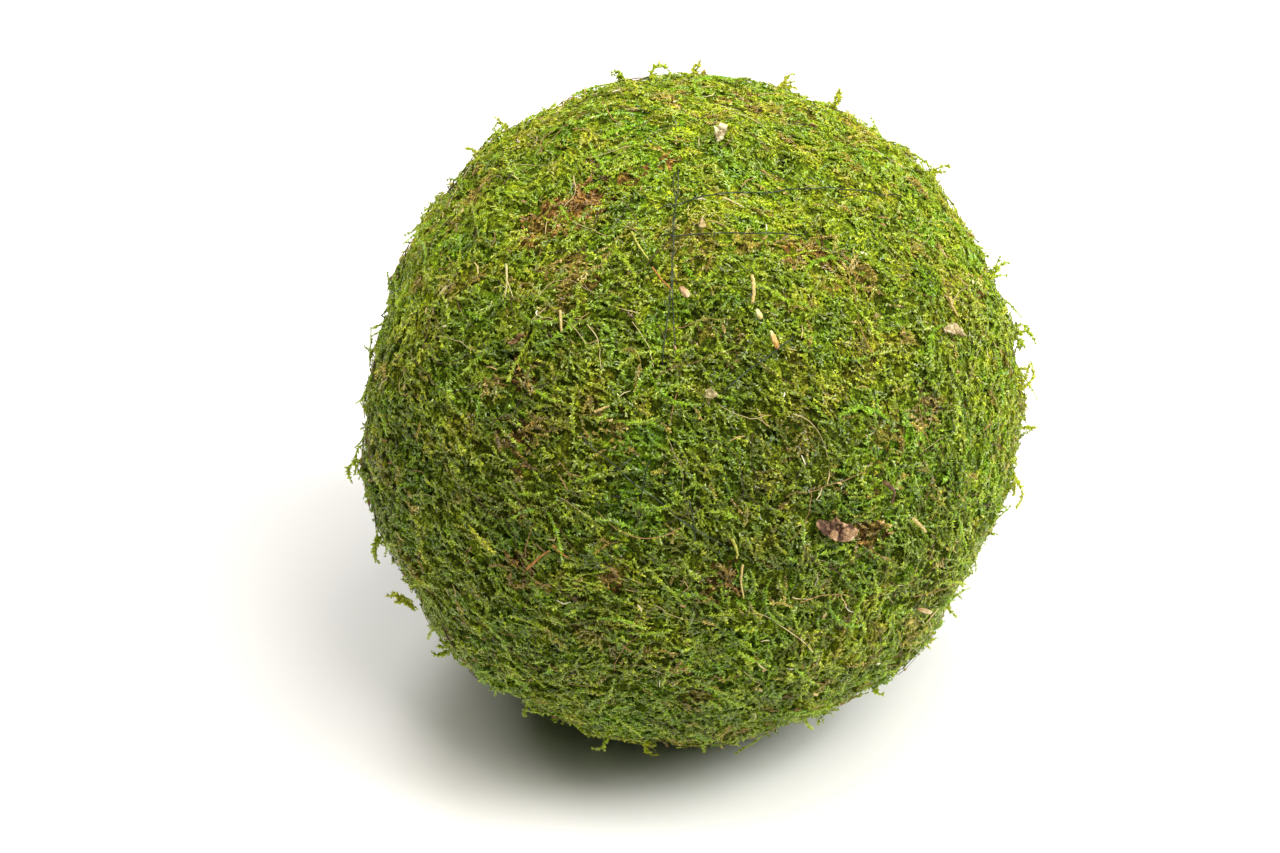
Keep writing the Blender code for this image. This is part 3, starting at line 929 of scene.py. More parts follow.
class Thread:
    """The turns of thread, and where each of them shows or dives under the moss."""

    def __init__(self):
        self.lines = [smooth_loop(thread_line(number), 4) for number in range(1, THREAD_TURNS + 1)]
        self.shown = [self.showing(line, number) for number, line in enumerate(self.lines)]
        self.all_points = np.concatenate(self.lines)
        self.all_shown = np.concatenate(self.shown)
        self.tree = kdtree.KDTree(len(self.all_points))
        for number, point in enumerate(unit(self.all_points)):
            self.tree.insert(point, number)
        self.tree.balance()

    @staticmethod
    def showing(line, number):
        """How much each point shows, from 0 to 1: by the picture in front, by chance behind."""
        places = picture_places(line)
        directions = unit(line)
        front = directions @ np.array(TO_CAMERA) > THREAD_FRONT
        apart = np.min([near_stretch(places, *stretch) for stretch in THREAD_SHOWN], axis=0)
        seen = np.clip(2.0 - apart / THREAD_SHOWN_WIDTH, 0.0, 1.0)
        chance = np.clip(4.0 * field(directions, THREAD_DIVE, 31 + number) + 0.5, 0.0, 1.0)
        return np.where(front, seen, np.where(chance > 0.5, chance, 0.0))

    def sunk_lines(self):
        """The turns as they lie: on the moss where they show, and under it elsewhere."""
        for number, (line, shown) in enumerate(zip(self.lines, self.shown)):
            directions = unit(line)
            seed = 60 + 3 * number
            waves = [field(directions, THREAD_WAVE_LENGTH, seed + axis) for axis in range(3)]
            skin = SKIN.reach(directions) + moss_relief(directions)
            level = skin - THREAD_BURIED + (THREAD_RISE + THREAD_BURIED) * shown
            level = np.minimum(level, np.linalg.norm(line, axis=1) - THREAD_SUNK)
            yield directions * level[:, None] + 2.0 * THREAD_WAVE * np.stack(waves, -1)

    def settle(self, directions, sink, rng):
        """Depth of each shoot: most of those under thread that shows are pressed down."""
        settled = sink.copy()
        crossing = rng.uniform(0.0, 1.0, len(directions)) < CROSSING_SHARE
        for number, direction in enumerate(directions):
            _, found, apart = self.tree.find(Vector(direction))
            under = self.all_shown[found] > 0.5 and apart * BALL_RADIUS < PRESS_WIDTH
            if under and not crossing[number]:
                settled[number] = max(sink[number], PRESS_DEPTH)
        return settled


THREAD = Thread()

# Sprigs

# Sprigs that stand out of the rim: root, middle and tip in pixels
RIM_SPRIGS = (
    ((489, 172), (479, 156), (466, 148)),
    ((628, 86), (622, 76), (612, 72)),
    ((645, 84), (656, 66), (671, 74)),
    ((694, 82), (693, 71), (700, 64)),
    ((783, 90), (786, 79), (794, 74)),
    ((830, 108), (838, 100), (839, 90)),
    ((928, 176), (938, 168), (950, 167)),
    ((994, 288), (998, 268), (1010, 263)),
    ((1008, 331), (1018, 325), (1029, 328)),
    ((1013, 346), (1024, 331), (1035, 343)),
    ((1014, 392), (1030, 382), (1031, 362)),
    ((1008, 474), (1021, 488), (1016, 508)),
    ((362, 458), (350, 466), (352, 482)),
    ((384, 530), (374, 546), (379, 562)),
    ((408, 606), (398, 596), (386, 596)),
    ((456, 644), (444, 654), (432, 652)),
    ((640, 734), (647, 750), (657, 754)),
    ((930, 594), (941, 596), (947, 604)),
    ((868, 682), (876, 692), (884, 692)),
)
SPRIG_ROOT_DEPTH = 0.0015
SPRIG_PAIR = 0.00036

# Leaf length and lightness of sprigs, from the largest down, and how bushy they and the fronds are
SPRIG_LARGE = (0.00095, 0.52)
SPRIG_MIDDLE = (0.00085, 0.50)
SPRIG_SMALL = (0.00075, 0.40)
SPRIG_BUSH = 1.4
FROND_BUSH = 1.2

# The twigs beside a sprig of the rim, how far their feet and tips stray from it, and how near to one
# the solid's own sprigs are left out
RIM_TWIGS = 3
FOOT_STRAY = 0.0010
TIP_STRAY = 0.0011
RIM_CLEAR = 0.006

# The solid's own sprigs: how far their middle bows outwards, and how far a side twig strays
SPRIG_BOW = 0.0006
SIDE_STRAY = 0.0009


def arched(root, middle, tip, count):
    """Points along a curve from a root through a middle to a tip."""
    share = np.linspace(0.0, 1.0, count + 1)[:, None]
    control = 2.0 * middle - 0.5 * (root + tip)
    return root * (1.0 - share) ** 2 + control * 2.0 * share * (1.0 - share) + tip * share ** 2


def evenly(line, step):
    """The same line in steps of one length."""
    along = np.concatenate([[0.0], np.cumsum(np.linalg.norm(np.diff(line, axis=0), axis=1))])
    places = np.linspace(0.0, along[-1], max(int(along[-1] / step), 3) + 1)
    return np.stack([np.interp(places, along, line[:, axis]) for axis in range(3)], -1)


def leafy_line(rng, line, tint, size, light, bush=SPRIG_BUSH):
    """Pairs of leaves all round a stem along a line, given as offsets from the ball's centre."""
    leaves = leaf_pairs(rng, evenly(line, SPRIG_PAIR), size, SPRIG_SWELL, bush)
    count = len(leaves)
    faces, corners = pair_faces(count)
    base = np.repeat(light + rng.normal(0.0, 0.10, count), len(PAIR_FACES))
    hue = np.repeat(tint + rng.normal(0.0, 0.015, count), len(PAIR_FACES))
    corners = corners + on_map(hue, base)[:, None]
    return Form(np.concatenate(leaves) + CENTRE_POINT, faces, corners, base)


def sprig_forms(rng):
    """Every sprig: those of the rim as the picture shows them, and the solid's others."""
    roots = []
    for pixels in RIM_SPRIGS:
        root, middle, tip = (np.array(rim_point(pixel)) for pixel in pixels)
        root = root - unit(root) * SPRIG_ROOT_DEPTH
        roots.append(unit(root))
        tint = rng.uniform(MOSS, GOLD)
        yield leafy_line(rng, arched(root, middle, tip, 9), tint, *SPRIG_LARGE)
        for _ in range(RIM_TWIGS):
            foot = root + rng.normal(0.0, FOOT_STRAY, 3)
            share = rng.uniform(0.4, 0.8)
            top = root + (tip - root) * share + rng.normal(0.0, TIP_STRAY, 3)
            yield leafy_line(rng, arched(foot, (foot + middle * 1.002) * 0.5, top, 6), tint, *SPRIG_MIDDLE)
    for root, tip in SKIN.sprigs:
        if min(np.linalg.norm(unit(root) - other) for other in roots) * BALL_RADIUS < RIM_CLEAR:
            continue
        middle = (root + tip) * 0.5 + unit(root) * SPRIG_BOW
        root = root - unit(root) * SPRIG_ROOT_DEPTH
        tint = rng.uniform(MOSS, GOLD)
        yield leafy_line(rng, arched(root, middle, tip, 8), tint, *SPRIG_MIDDLE)
        side = root + (tip - root) * 0.6 + rng.normal(0.0, SIDE_STRAY, 3)
        yield leafy_line(rng, arched(root, middle, side, 6), tint, *SPRIG_SMALL)


# Litter

# Stems, straws and needles: pixels along each, its radius, the share it tapers by, its finish
STRANDS = {
    "pale_stem_upper": (((631, 230), (637, 242), (648, 258)), 0.00024, 0.3, "stem"),
    "pale_stem_lower": (((652, 267), (660, 277), (671, 288)), 0.00019, 0.4, "needle"),
    "straw_upright": (((751, 277), (753, 290), (752, 304)), 0.00036, 0.1, "straw"),
    "pale_needle": (((724, 195), (734, 199), (745, 205)), 0.00025, 0.5, "pale"),
    "forked_stalk": (((505, 263), (507, 280), (504, 297)), 0.00023, 0.5, "pale"),
    "tan_strip": (((561, 311), (562, 321), (562, 332)), 0.00028, 0.2, "straw"),
    "brown_needle": (((525, 571), (540, 557), (549, 551)), 0.00026, 0.5, "needle"),
    "crossed_needle": (((553, 545), (560, 552), (569, 558)), 0.00020, 0.5, "needle"),
    "pale_root": (((743, 566), (741, 582), (744, 599)), 0.00025, 0.5, "straw"),
    "yellow_stem": (((733, 541), (737, 551), (738, 560)), 0.00032, 0.4, "stem"),
    "tan_stick": (((908, 516), (916, 523), (925, 531)), 0.00038, 0.2, "straw"),
    "straw_right": (((951, 296), (955, 305), (960, 315)), 0.00032, 0.3, "straw"),
    "dark_stalk": (((880, 480), (889, 489), (887, 501)), 0.00042, 0.5, "dark"),
    "short_straw": (((594, 412), (601, 409), (609, 406)), 0.00028, 0.3, "straw"),
}

# How far a strand wavers, how uneven its thickness is, and the swell and the length of its joint
STRAND_WAVER = 0.00004
STRAND_UNEVEN = 0.03
JOINT_SWELL = 0.2
JOINT_LENGTH = 0.06

# The strand that forks, how far its second arm spreads, and the arm's share of its thickness
FORKED = "forked_stalk"
FORK_SPREAD = 0.0016
FORK_SHARE = 0.6

# Finishes of strands: their slot, and their colours from dark to light
STRAND_FINISHES = {
    "pale": ("pale_litter", ((0.30, 0.26, 0.10), (0.52, 0.46, 0.20), (0.68, 0.62, 0.34))),
    "straw": ("straw", ((0.28, 0.20, 0.06), (0.50, 0.38, 0.13), (0.66, 0.55, 0.25))),
    "stem": ("yellow_stem", ((0.18, 0.20, 0.03), (0.40, 0.39, 0.07), (0.58, 0.53, 0.14))),
    "needle": ("brown_litter", ((0.14, 0.05, 0.015), (0.40, 0.17, 0.04), (0.56, 0.32, 0.10))),
    "dark": ("brown_litter", ((0.03, 0.02, 0.012), (0.11, 0.06, 0.03), (0.22, 0.13, 0.06))),
}

# Dried and fresh leafy pieces: pixels along each, tint, leaf size, lightness, slot
FRONDS = {
    "curled_frond": (
        ((621, 350), (634, 351), (640, 363), (637, 377), (635, 391)),
        TAN, 0.00085, 0.20, "brown_litter"),
    "yellow_catkin": (((470, 523), (482, 537), (495, 553)), GOLD, 0.00095, 0.42, "yellow_stem"),
    "orange_strand": (((862, 261), (869, 268), (877, 280)), TAN, 0.00070, 0.26, "brown_litter"),
}
FROND_DEPTH = 0.0005

# Husks: the two ends in pixels, half thickness, how far they pale along, and colours from dark to light
HUSKS = {
    "orange_husk": (
        ((769, 332), (776, 350)), 0.00050, -0.5,
        ((0.30, 0.12, 0.02), (0.60, 0.37, 0.11), (0.78, 0.66, 0.36))),
    "pink_husk": (
        ((680, 289), (689, 299)), 0.00062, 0.2,
        ((0.09, 0.05, 0.03), (0.46, 0.30, 0.15), (0.74, 0.56, 0.36))),
    "pale_husk": (
        ((755, 311), (760, 321)), 0.00048, -0.4,
        ((0.36, 0.24, 0.06), (0.64, 0.56, 0.24), (0.80, 0.76, 0.42))),
    "rose_husk": (
        ((918, 609), (932, 613)), 0.00046, 0.4,
        ((0.28, 0.15, 0.05), (0.46, 0.34, 0.15), (0.62, 0.50, 0.26))),
}

# How deep litter lies under its plain solid, and a husk's furrow: its depth, its side and its width
LITTER_SUNK = 0.0006
FURROW_DEPTH = 0.40
FURROW_TURN = 1.3
FURROW_WIDTH = 0.25

# How blunt a husk is, the height and width of its bumps, how much thicker its far end is, how far it
# bends, and its height as a share of its width
HUSK_BLUNT = 0.8
HUSK_BUMPS = (0.30, 0.030)
HUSK_THICKER = 0.2
HUSK_BEND = -0.15
HUSK_FLAT = 0.8

# Flat scraps: outline in pixels, how far they curl, their plates, the cracks' width between these,
# and colours from dark to light
FLAKES = {
    "bark_flake": (
        ((813, 523), (820, 519), (829, 522), (836, 517), (841, 522), (849, 524), (856, 529), (853, 537),
         (845, 541), (834, 540), (822, 533)),
        0.0003, 11, 0.00040, ((0.070, 0.034, 0.020), (0.36, 0.215, 0.105), (0.62, 0.46, 0.28))),
    "leaf_scrap": (
        ((941, 328), (947, 325), (953, 324), (957, 330), (961, 338), (955, 335), (948, 335), (942, 333)),
        0.0008, 5, 0.0003, ((0.20, 0.14, 0.06), (0.45, 0.36, 0.19), (0.68, 0.59, 0.38))),
    "scale_shard": (
        ((704, 397), (706, 391), (711, 387), (714, 391), (720, 396), (712, 399)),
        0.0010, 1, 0.0002, ((0.10, 0.08, 0.03), (0.24, 0.20, 0.08), (0.58, 0.50, 0.28))),
    "rose_flake": (
        ((702, 216), (704, 219), (707, 225), (702, 226), (698, 227), (700, 220)),
        0.0006, 2, 0.0002, ((0.20, 0.14, 0.05), (0.42, 0.32, 0.14), (0.64, 0.50, 0.28))),
    "white_scrap": (
        ((713, 133), (719, 130), (727, 131), (725, 137), (723, 143), (717, 145), (714, 139)),
        0.0004, 4, 0.0005, ((0.22, 0.17, 0.08), (0.54, 0.49, 0.28), (0.82, 0.78, 0.55))),
    "brown_flake": (
        ((507, 342), (512, 337), (517, 334), (522, 332), (523, 335), (517, 339), (510, 344)),
        0.0005, 2, 0.0002, ((0.12, 0.06, 0.02), (0.32, 0.19, 0.08), (0.46, 0.31, 0.15))),
}
FLAKE_SUNK = 0.0004
FLAKE_THICKNESS = 0.0003
FLAKE_CUTS = 11

# How a scrap's cracks wander and its edge frays: the size of a bend, and how far it goes
CRACK_WANDER = (0.0013, 0.00035)
FRAY = (0.0012, 0.00045)

# How uneven a scrap's plates are, how they tilt and how far they step up or down, how deep the cracks
# between them are, and on a scrap of one plate the size of its veins and their width
PLATE_UNEVEN = 0.45
PLATE_TILT = 0.16
PLATE_STEP = 0.00022
CRACK_DEPTH = 0.0005
VEIN_SIZE = 0.0016
VEIN_WIDTH = 0.08

# A scrap's bumps, their size and height, where its pale edge starts and how wide it is, and how far
# the scrap stands above its base
SCRAP_BUMPS = (0.0030, 0.0002)
EDGE_START = 0.62
EDGE_WIDTH = 0.3
SCRAP_RISE = 0.0004
FLAKE_SLOTS = {"leaf_scrap": "pale_litter", "white_scrap": "pale_litter", "scale_shard": "pale_litter"}

# Tones at which dry strands and scraps take their dark, middle and light colour, and how finely a
# husk's ball is cut, round and along
STRAND_TONES = (0.36, 0.54, 0.74)
SCRAP_TONES = (0.22, 0.60, 0.86)
HUSK_ROUND = 24
HUSK_RINGS = 18


def node_level(tree, pixel):
    """Distance from the ball's centre to a node's outer face at a pixel, or None beside it."""
    direction = photo_direction(pixel)
    hit = tree.ray_cast(direction * OUTSIDE, -direction)
    return OUTSIDE - hit[3] if hit[0] else None


def node_line(name, pixels, radius):
    """Offsets from the ball's centre along the middle of a strand's solid, at its pixels."""
    tree = node_tree(name)
    pixels = np.array(pixels, float)
    inner = pixels.copy()
    inner[0] += (pixels[1] - pixels[0]) * 0.2
    inner[-1] += (pixels[-2] - pixels[-1]) * 0.2
    levels = [node_level(tree, pixel) for pixel in inner]
    known = [level for level in levels if level]
    levels = [level or sum(known) / len(known) for level in levels]
    directions = np.array([photo_direction(pixel) for pixel in pixels])
    return directions * (np.array(levels) - radius)[:, None]


def tube(name, line, radius, shares, closed=False, sides=2):
    """A round strand along a line of points, of a radius times each point's share."""
    strand = add_shape(bpy.ops.curve.primitive_bezier_circle_add)
    strand.name = name
    curve = strand.data
    curve.splines.clear()
    spline = curve.splines.new("POLY")
    spline.points.add(len(line) - 1)
    spline.points.foreach_set("co", np.concatenate([line, np.ones((len(line), 1))], 1).ravel())
    spline.points.foreach_set("radius", np.array(shares, float))
    spline.use_cyclic_u = closed
    curve.dimensions = "3D"
    curve.bevel_depth = radius
    curve.bevel_resolution = sides
    curve.use_fill_caps = not closed
    bpy.ops.object.convert(target="MESH")
    strand = bpy.context.object
    strand.data.name = name
    strand.data.shade_smooth()
    return strand


def grained_finish(name, colours, roughness=0.6, stretch=(10.0, 2.5, 1.0), paling=0.0):
    """Finish of dry plant stuff: streaks along the piece's own map, small stains, and paler at one end."""
    finish = Finish(name, Roughness=roughness, Specular_IOR_Level=0.15)
    chart = finish.node("ShaderNodeUVMap", {"uv_map": "UVMap"})
    place = finish.node("ShaderNodeVectorMath", {"operation": "MULTIPLY"}, {0: chart, 1: stretch})
    along = finish.node("ShaderNodeSeparateXYZ", {}, {0: chart}, output=1)
    streaks = finish.noise(1.0, 4.0, place=place)
    stains = finish.noise(1100.0, 3.0)
    tone = streaks * 0.65 + stains * 0.45 + (along - 0.5) * paling
    finish.feed("Base Color", finish.ramp(tone, tuple(zip(STRAND_TONES, colours))))
    finish.bump(streaks, 0.6, 0.0002)
    return finish


def joined_union(piece, other):
    """Two closed meshes made one."""
    deselect()
    union = piece.modifiers.new("union", "BOOLEAN")
    union.operation = "UNION"
    union.object = other
    bpy.context.view_layer.objects.active = piece
    piece.select_set(True)
    bpy.ops.object.modifier_apply(modifier=union.name)
    bpy.data.objects.remove(other, do_unlink=True)


def add_fork(piece, line, radius):
    """Give a strand along a line a second arm, from its middle to beside its tip."""
    middle = line[len(line) // 2]
    tip = line[-1] + (line[-1] - middle) * 0.1 + np.array(PICTURE_RIGHT) * FORK_SPREAD
    fork = smooth_line(np.array([middle, (middle + tip) * 0.5, tip]), 3) + CENTRE_POINT
    joined_union(piece, tube("fork", fork, radius * FORK_SHARE, np.linspace(1.0, 0.4, len(fork))))


def strand_piece(name):
    """A stem, straw or needle with its joints, in place of its plain solid."""
    pixels, radius, taper, kind = STRANDS[name]
    rng = np.random.default_rng(len(name) * 7 + int(pixels[0][0]))
    line = smooth_line(node_line(name, pixels, radius), 5)
    share = np.linspace(0.0, 1.0, len(line))
    line = line + rng.normal(0.0, STRAND_WAVER, line.shape) - unit(line) * LITTER_SUNK
    joint = JOINT_SWELL * np.exp(-((share - rng.uniform(0.3, 0.7)) / JOINT_LENGTH) ** 2)
    uneven = rng.normal(0.0, STRAND_UNEVEN, len(line))
    shares = (0.95 - taper * share) * (1.0 + joint + uneven)
    piece = tube(name + "_grown", line + CENTRE_POINT, radius, shares)
    if name == FORKED:
        add_fork(piece, line, radius)
    slot, colours = STRAND_FINISHES[kind]
    finish_piece(piece, grained_finish(name + "_finish", colours).material, slot, name)


def frond_piece(name):
    """A leafy piece in place of its plain solid."""
    pixels, tint, size, light, slot = FRONDS[name]
    rng = np.random.default_rng(int(pixels[0][0]))
    line = smooth_line(node_line(name, pixels, FROND_DEPTH), 5)
    piece = leafy_line(rng, line, tint, size, light, FROND_BUSH).built(name + "_grown")
    finish_piece(piece, leaf_finish().material, slot, name)


def husk_points(globe, outward, first, last, radius, seed):
    """Points of a husk between its two ends, from those of a globe: blunt, furrowed and a little bent."""
    forward = unit(last - first)
    side = unit(np.cross(outward, forward))
    over = np.cross(forward, side)
    turn = np.arctan2(globe[:, 1], globe[:, 0])
    thick = np.hypot(globe[:, 0], globe[:, 1]) ** HUSK_BLUNT
    thick = thick * (1.0 - FURROW_DEPTH * np.exp(-((turn - FURROW_TURN) / FURROW_WIDTH) ** 2))
    bumps, width = HUSK_BUMPS
    thick = thick * (1.0 + bumps * field(globe, width, seed)) * (1.0 + HUSK_THICKER * globe[:, 2])
    half = np.linalg.norm(last - first) * 0.5
    bend = HUSK_BEND * radius * globe[:, 2] ** 2
    return (
        CENTRE_POINT + (first + last) * 0.5
        + forward * (globe[:, 2] * half)[:, None]
        + side * (thick * np.cos(turn) * radius)[:, None]
        + over * (thick * np.sin(turn) * radius * HUSK_FLAT + bend)[:, None]
    )


def husk_piece(name):
    """A grain-like husk with a furrow along it, in place of its plain solid."""
    pixels, radius, paling, colours = HUSKS[name]
    middle = np.mean(pixels, 0)
    level = node_level(node_tree(name), middle) - radius - LITTER_SUNK
    outward, first, last = (np.array(photo_direction(pixel)) for pixel in (middle, *pixels))
    husk = add_shape(
        bpy.ops.mesh.primitive_uv_sphere_add, segments=HUSK_ROUND, ring_count=HUSK_RINGS, radius=1.0
    )
    husk.name = husk.data.name = name + "_grown"
    points = husk_points(take_points(husk), outward, first * level, last * level, radius, len(name))
    put_points(husk, points)
    husk.data.shade_smooth()
    finish = grained_finish(name + "_finish", colours, 0.5, (14.0, 1.6, 1.0), paling)
    finish_piece(husk, finish.material, "husk", name)


def flake_sheet(name, flat):
    """A many-faced flat sheet within an outline."""
    flake = add_shape(
        bpy.ops.mesh.primitive_circle_add, vertices=len(flat), radius=1.0, fill_type="NGON"
    )
    flake.name = flake.data.name = name + "_grown"
    put_points(flake, np.concatenate([flat, np.zeros((len(flat), 1))], 1))
    bpy.ops.object.mode_set(mode="EDIT")
    bpy.ops.mesh.select_all(action="SELECT")
    bpy.ops.mesh.poke()
    bpy.ops.mesh.subdivide(number_cuts=FLAKE_CUTS)
    bpy.ops.mesh.normals_make_consistent(inside=False)
    bpy.ops.object.mode_set(mode="OBJECT")
    return flake


def rough_noise(points, size, seed):
    """Noise at points of a sheet, with features of a size."""
    return np.array([noise.noise(Vector((spot[0] / size, spot[1] / size, seed))) for spot in points])


def cracked(points, flat, plates, width, rng):
    """How deep in a crack each point of a sheet lies, from 0 to 1, and how high its plate stands."""
    middles = rng.dirichlet(np.full(len(flat), PLATE_UNEVEN), plates) @ flat
    apart = np.linalg.norm(points[:, None, :2] - middles, axis=2)
    size, wander = CRACK_WANDER
    apart += wander * rough_noise(points, size, 8.0)[:, None] * np.sign(np.arange(plates) - 0.5 * plates)
    near = np.sort(apart, axis=1)
    plate = apart.argmin(1)
    slopes = rng.normal(0.0, PLATE_TILT, (plates, 2))
    level = rng.normal(0.0, PLATE_STEP, plates)[plate]
    level = level + ((points[:, :2] - middles[plate]) * slopes[plate]).sum(1)
    if plates == 1:
        veins = np.abs(rough_noise(points * (0.5, 1.5, 1.0), VEIN_SIZE, 4.0))
        return np.clip(1.0 - veins / VEIN_WIDTH, 0.0, 1.0), level
    return np.clip(1.2 - (near[:, 1] - near[:, 0]) / width, 0.0, 1.0), level


def thicken(flake):
    """Give a scrap's sheet its thickness, under its face."""
    thick = flake.modifiers.new("thickness", "SOLIDIFY")
    thick.thickness = FLAKE_THICKNESS
    thick.offset = -1.0
    bpy.ops.object.modifier_apply(modifier=thick.name)
    flake.data.shade_flat()


def flake_finish(name, colours):
    """Finish of a dry scrap: stained, dark in its cracks and pale along its edge."""
    finish = Finish(name + "_finish", Roughness=0.75, Specular_IOR_Level=0.25)
    crack = finish.node("ShaderNodeAttribute", {"attribute_name": "crack"}, output=2)
    edge = finish.node("ShaderNodeAttribute", {"attribute_name": "edge"}, output=2)
    tone = finish.noise(1700.0, 4.0) * 1.3 + finish.noise(420.0, 2.0) * 0.5 - 0.34
    tone = tone + edge * 0.22 - crack * 0.45
    finish.feed("Base Color", finish.ramp(tone, tuple(zip(SCRAP_TONES, colours))))
    finish.bump(finish.noise(2400.0, 3.0), 0.8, 0.0003)
    return finish


def flake_piece(name):
    """A curled scrap with its cracks and ragged edge, in place of its plain solid."""
    outline, curl, plates, width, colours = FLAKES[name]
    rng = np.random.default_rng(int(outline[0][0]))
    directions = np.array([photo_direction(pixel) for pixel in outline])
    middle = unit(directions.mean(0))
    solid = take_points(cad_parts[name]) - CENTRE_POINT
    base = (solid @ middle).min() - FLAKE_SUNK
    right = unit(np.cross(np.array(PICTURE_UP), middle))
    up = np.cross(middle, right)
    flat = directions / (directions @ middle)[:, None] * base
    flat = np.stack([flat @ right, flat @ up], -1)
    flake = flake_sheet(name, flat)
    points = take_points(flake)
    crack, level = cracked(points, flat, plates, width, rng)
    away = np.linalg.norm(points[:, :2] - flat.mean(0), axis=1) / np.abs(flat - flat.mean(0)).max()
    edge = np.clip((away - EDGE_START) / EDGE_WIDTH, 0.0, 1.0)
    size, rise = SCRAP_BUMPS
    bumps = rough_noise(points, size, 1.0)
    height = curl * away ** 2 * (0.7 + bumps) + level + rise * bumps - CRACK_DEPTH * crack
    size, fray = FRAY
    points[:, 0] += fray * rough_noise(points, size, 2.0) * away
    points[:, 1] += fray * rough_noise(points, size, 3.0) * away
    height = base + SCRAP_RISE + height
    placed = right * points[:, :1] + up * points[:, 1:2] + middle * height[:, None]
    for label, values in (("crack", crack), ("edge", edge)):
        layer = flake.data.attributes.new(label, "FLOAT", "POINT")
        layer.data.foreach_set("value", values)
    put_points(flake, placed + CENTRE_POINT)
    thicken(flake)
    finish_piece(flake, flake_finish(name, colours).material, FLAKE_SLOTS.get(name, "bark"), name)


# Crumbs and fine roots

CRUMB_STOPS = (
    (0.0, (0.030, 0.022, 0.016)),
    (0.2, (0.120, 0.070, 0.040)),
    (0.4, (0.330, 0.190, 0.080)),
    (0.6, (0.480, 0.350, 0.150)),
    (0.8, (0.600, 0.520, 0.300)),
    (1.0, (0.720, 0.680, 0.540)),
)
TUBE_SIDES = 3

# Crumbs: length and half thickness of the long and of the short ones, the share of long ones, how far
# they are tousled and bend, and their height above the skin
LONG_CRUMB = ((0.0014, 0.0038), (0.00007, 0.00016))
SHORT_CRUMB = ((0.0008, 0.0016), (0.00015, 0.00032))
LONG_SHARE = 0.6
CRUMB_TOUSLE = 1.5
CRUMB_BEND = 0.5
CRUMB_HEIGHT = (0.0, 0.0005)
CRUMB_TINTS = (0.35, 0.50, 0.62, 0.78, 0.93)
CRUMB_SHARES = (0.25, 0.25, 0.25, 0.17, 0.08)

# Fine roots: length, half thickness, how far they are tousled and bend, their height above the skin,
# tints along the stops above, and points along each
ROOT_LENGTH = (0.005, 0.016)
ROOT_RADIUS = (0.00006, 0.00011)
ROOT_TOUSLE = 1.2
ROOT_BEND = 0.6
ROOT_HEIGHT = (-0.0002, 0.0004)
ROOT_TINTS = (0.03, 0.06, 0.12, 0.2, 0.4, 0.7)
ROOT_POINTS = 9

# Under these heights of the ball, from -1 to 1, it carries no crumbs and no roots
CRUMB_LOWEST = -0.9
ROOT_LOWEST = -0.85


def crumb_finish():
    """Finish of crumbs and roots: tint across the piece's own map, and lightness up it."""
    finish = Finish("crumbs", Roughness=0.75, Specular_IOR_Level=0.2)
    tint, light = finish.own_map()
    finish.feed("Base Color", finish.scaled(finish.ramp(tint, CRUMB_STOPS), 0.5 + light))
    return finish


def tube_form(line, radii, tint, light):
    """A closed three-sided strand along a line of points, tapering as its radii say."""
    forward = unit(np.gradient(line, axis=0))
    side = unit(np.cross(forward, (0.123, 0.456, 0.882)))
    other = np.cross(forward, side)
    turns = np.arange(TUBE_SIDES) * 2.0 * math.pi / TUBE_SIDES
    ring = side[:, None] * np.cos(turns)[:, None] + other[:, None] * np.sin(turns)[:, None]
    points = (line[:, None] + ring * np.array(radii)[:, None, None]).reshape(-1, 3)
    faces = []
    for row in range(len(line) - 1):
        for column in range(TUBE_SIDES):
            one = row * TUBE_SIDES + column
            two = row * TUBE_SIDES + (column + 1) % TUBE_SIDES
            faces += [(one, two, two + TUBE_SIDES), (one, two + TUBE_SIDES, one + TUBE_SIDES)]
    last = (len(line) - 1) * TUBE_SIDES
    faces += [(0, 2, 1), (last, last + 1, last + 2)]
    faces = np.array(faces)
    corners = np.tile(np.array([(0.0, 0.0), (0.01, 0.0), (0.0, 0.1)]), (len(faces), 1, 1))
    corners = corners + np.array([tint, light])
    return Form(points, faces, corners, np.full(len(faces), light))


def lying_line(rng, direction, heading, length, count, bend, height):
    """Points of a thin thing that lies on the moss, bending as it goes."""
    beside = np.cross(direction, heading)
    share = np.linspace(-0.5, 0.5, count)
    across = bend * length * share ** 2 + np.cumsum(rng.normal(0.0, 0.02 * length, count))
    offsets = heading * (share * length)[:, None] + beside * across[:, None]
    spots = unit(direction + offsets / BALL_RADIUS)
    return spots * (SKIN.reach(spots) + height)[:, None] + CENTRE_POINT


def lying_places(rng, count, jitter, lowest):
    """Directions all over the ball and a heading at each, but for those too far underneath."""
    directions = unit(rng.normal(0.0, 1.0, (count, 3)))
    for direction, heading in zip(directions, headings_at(directions, rng, jitter)):
        if direction[2] >= lowest:
            yield direction, heading


def crumb_forms(rng, count):
    """Bits of straw, stem and bark that are too small to be pieces of their own."""
    for direction, heading in lying_places(rng, count, CRUMB_TOUSLE, CRUMB_LOWEST):
        lengths, thicknesses = LONG_CRUMB if rng.uniform() < LONG_SHARE else SHORT_CRUMB
        length = rng.uniform(*lengths)
        radius = rng.uniform(*thicknesses)
        bend, height = rng.normal(0.0, CRUMB_BEND), rng.uniform(*CRUMB_HEIGHT)
        line = lying_line(rng, direction, heading, length, 3, bend, height)
        radii = radius * np.array([0.7, 1.0, rng.uniform(0.3, 0.9)])
        tint = rng.choice(CRUMB_TINTS, p=CRUMB_SHARES)
        yield tube_form(line, radii, tint, rng.uniform(0.3, 0.7))


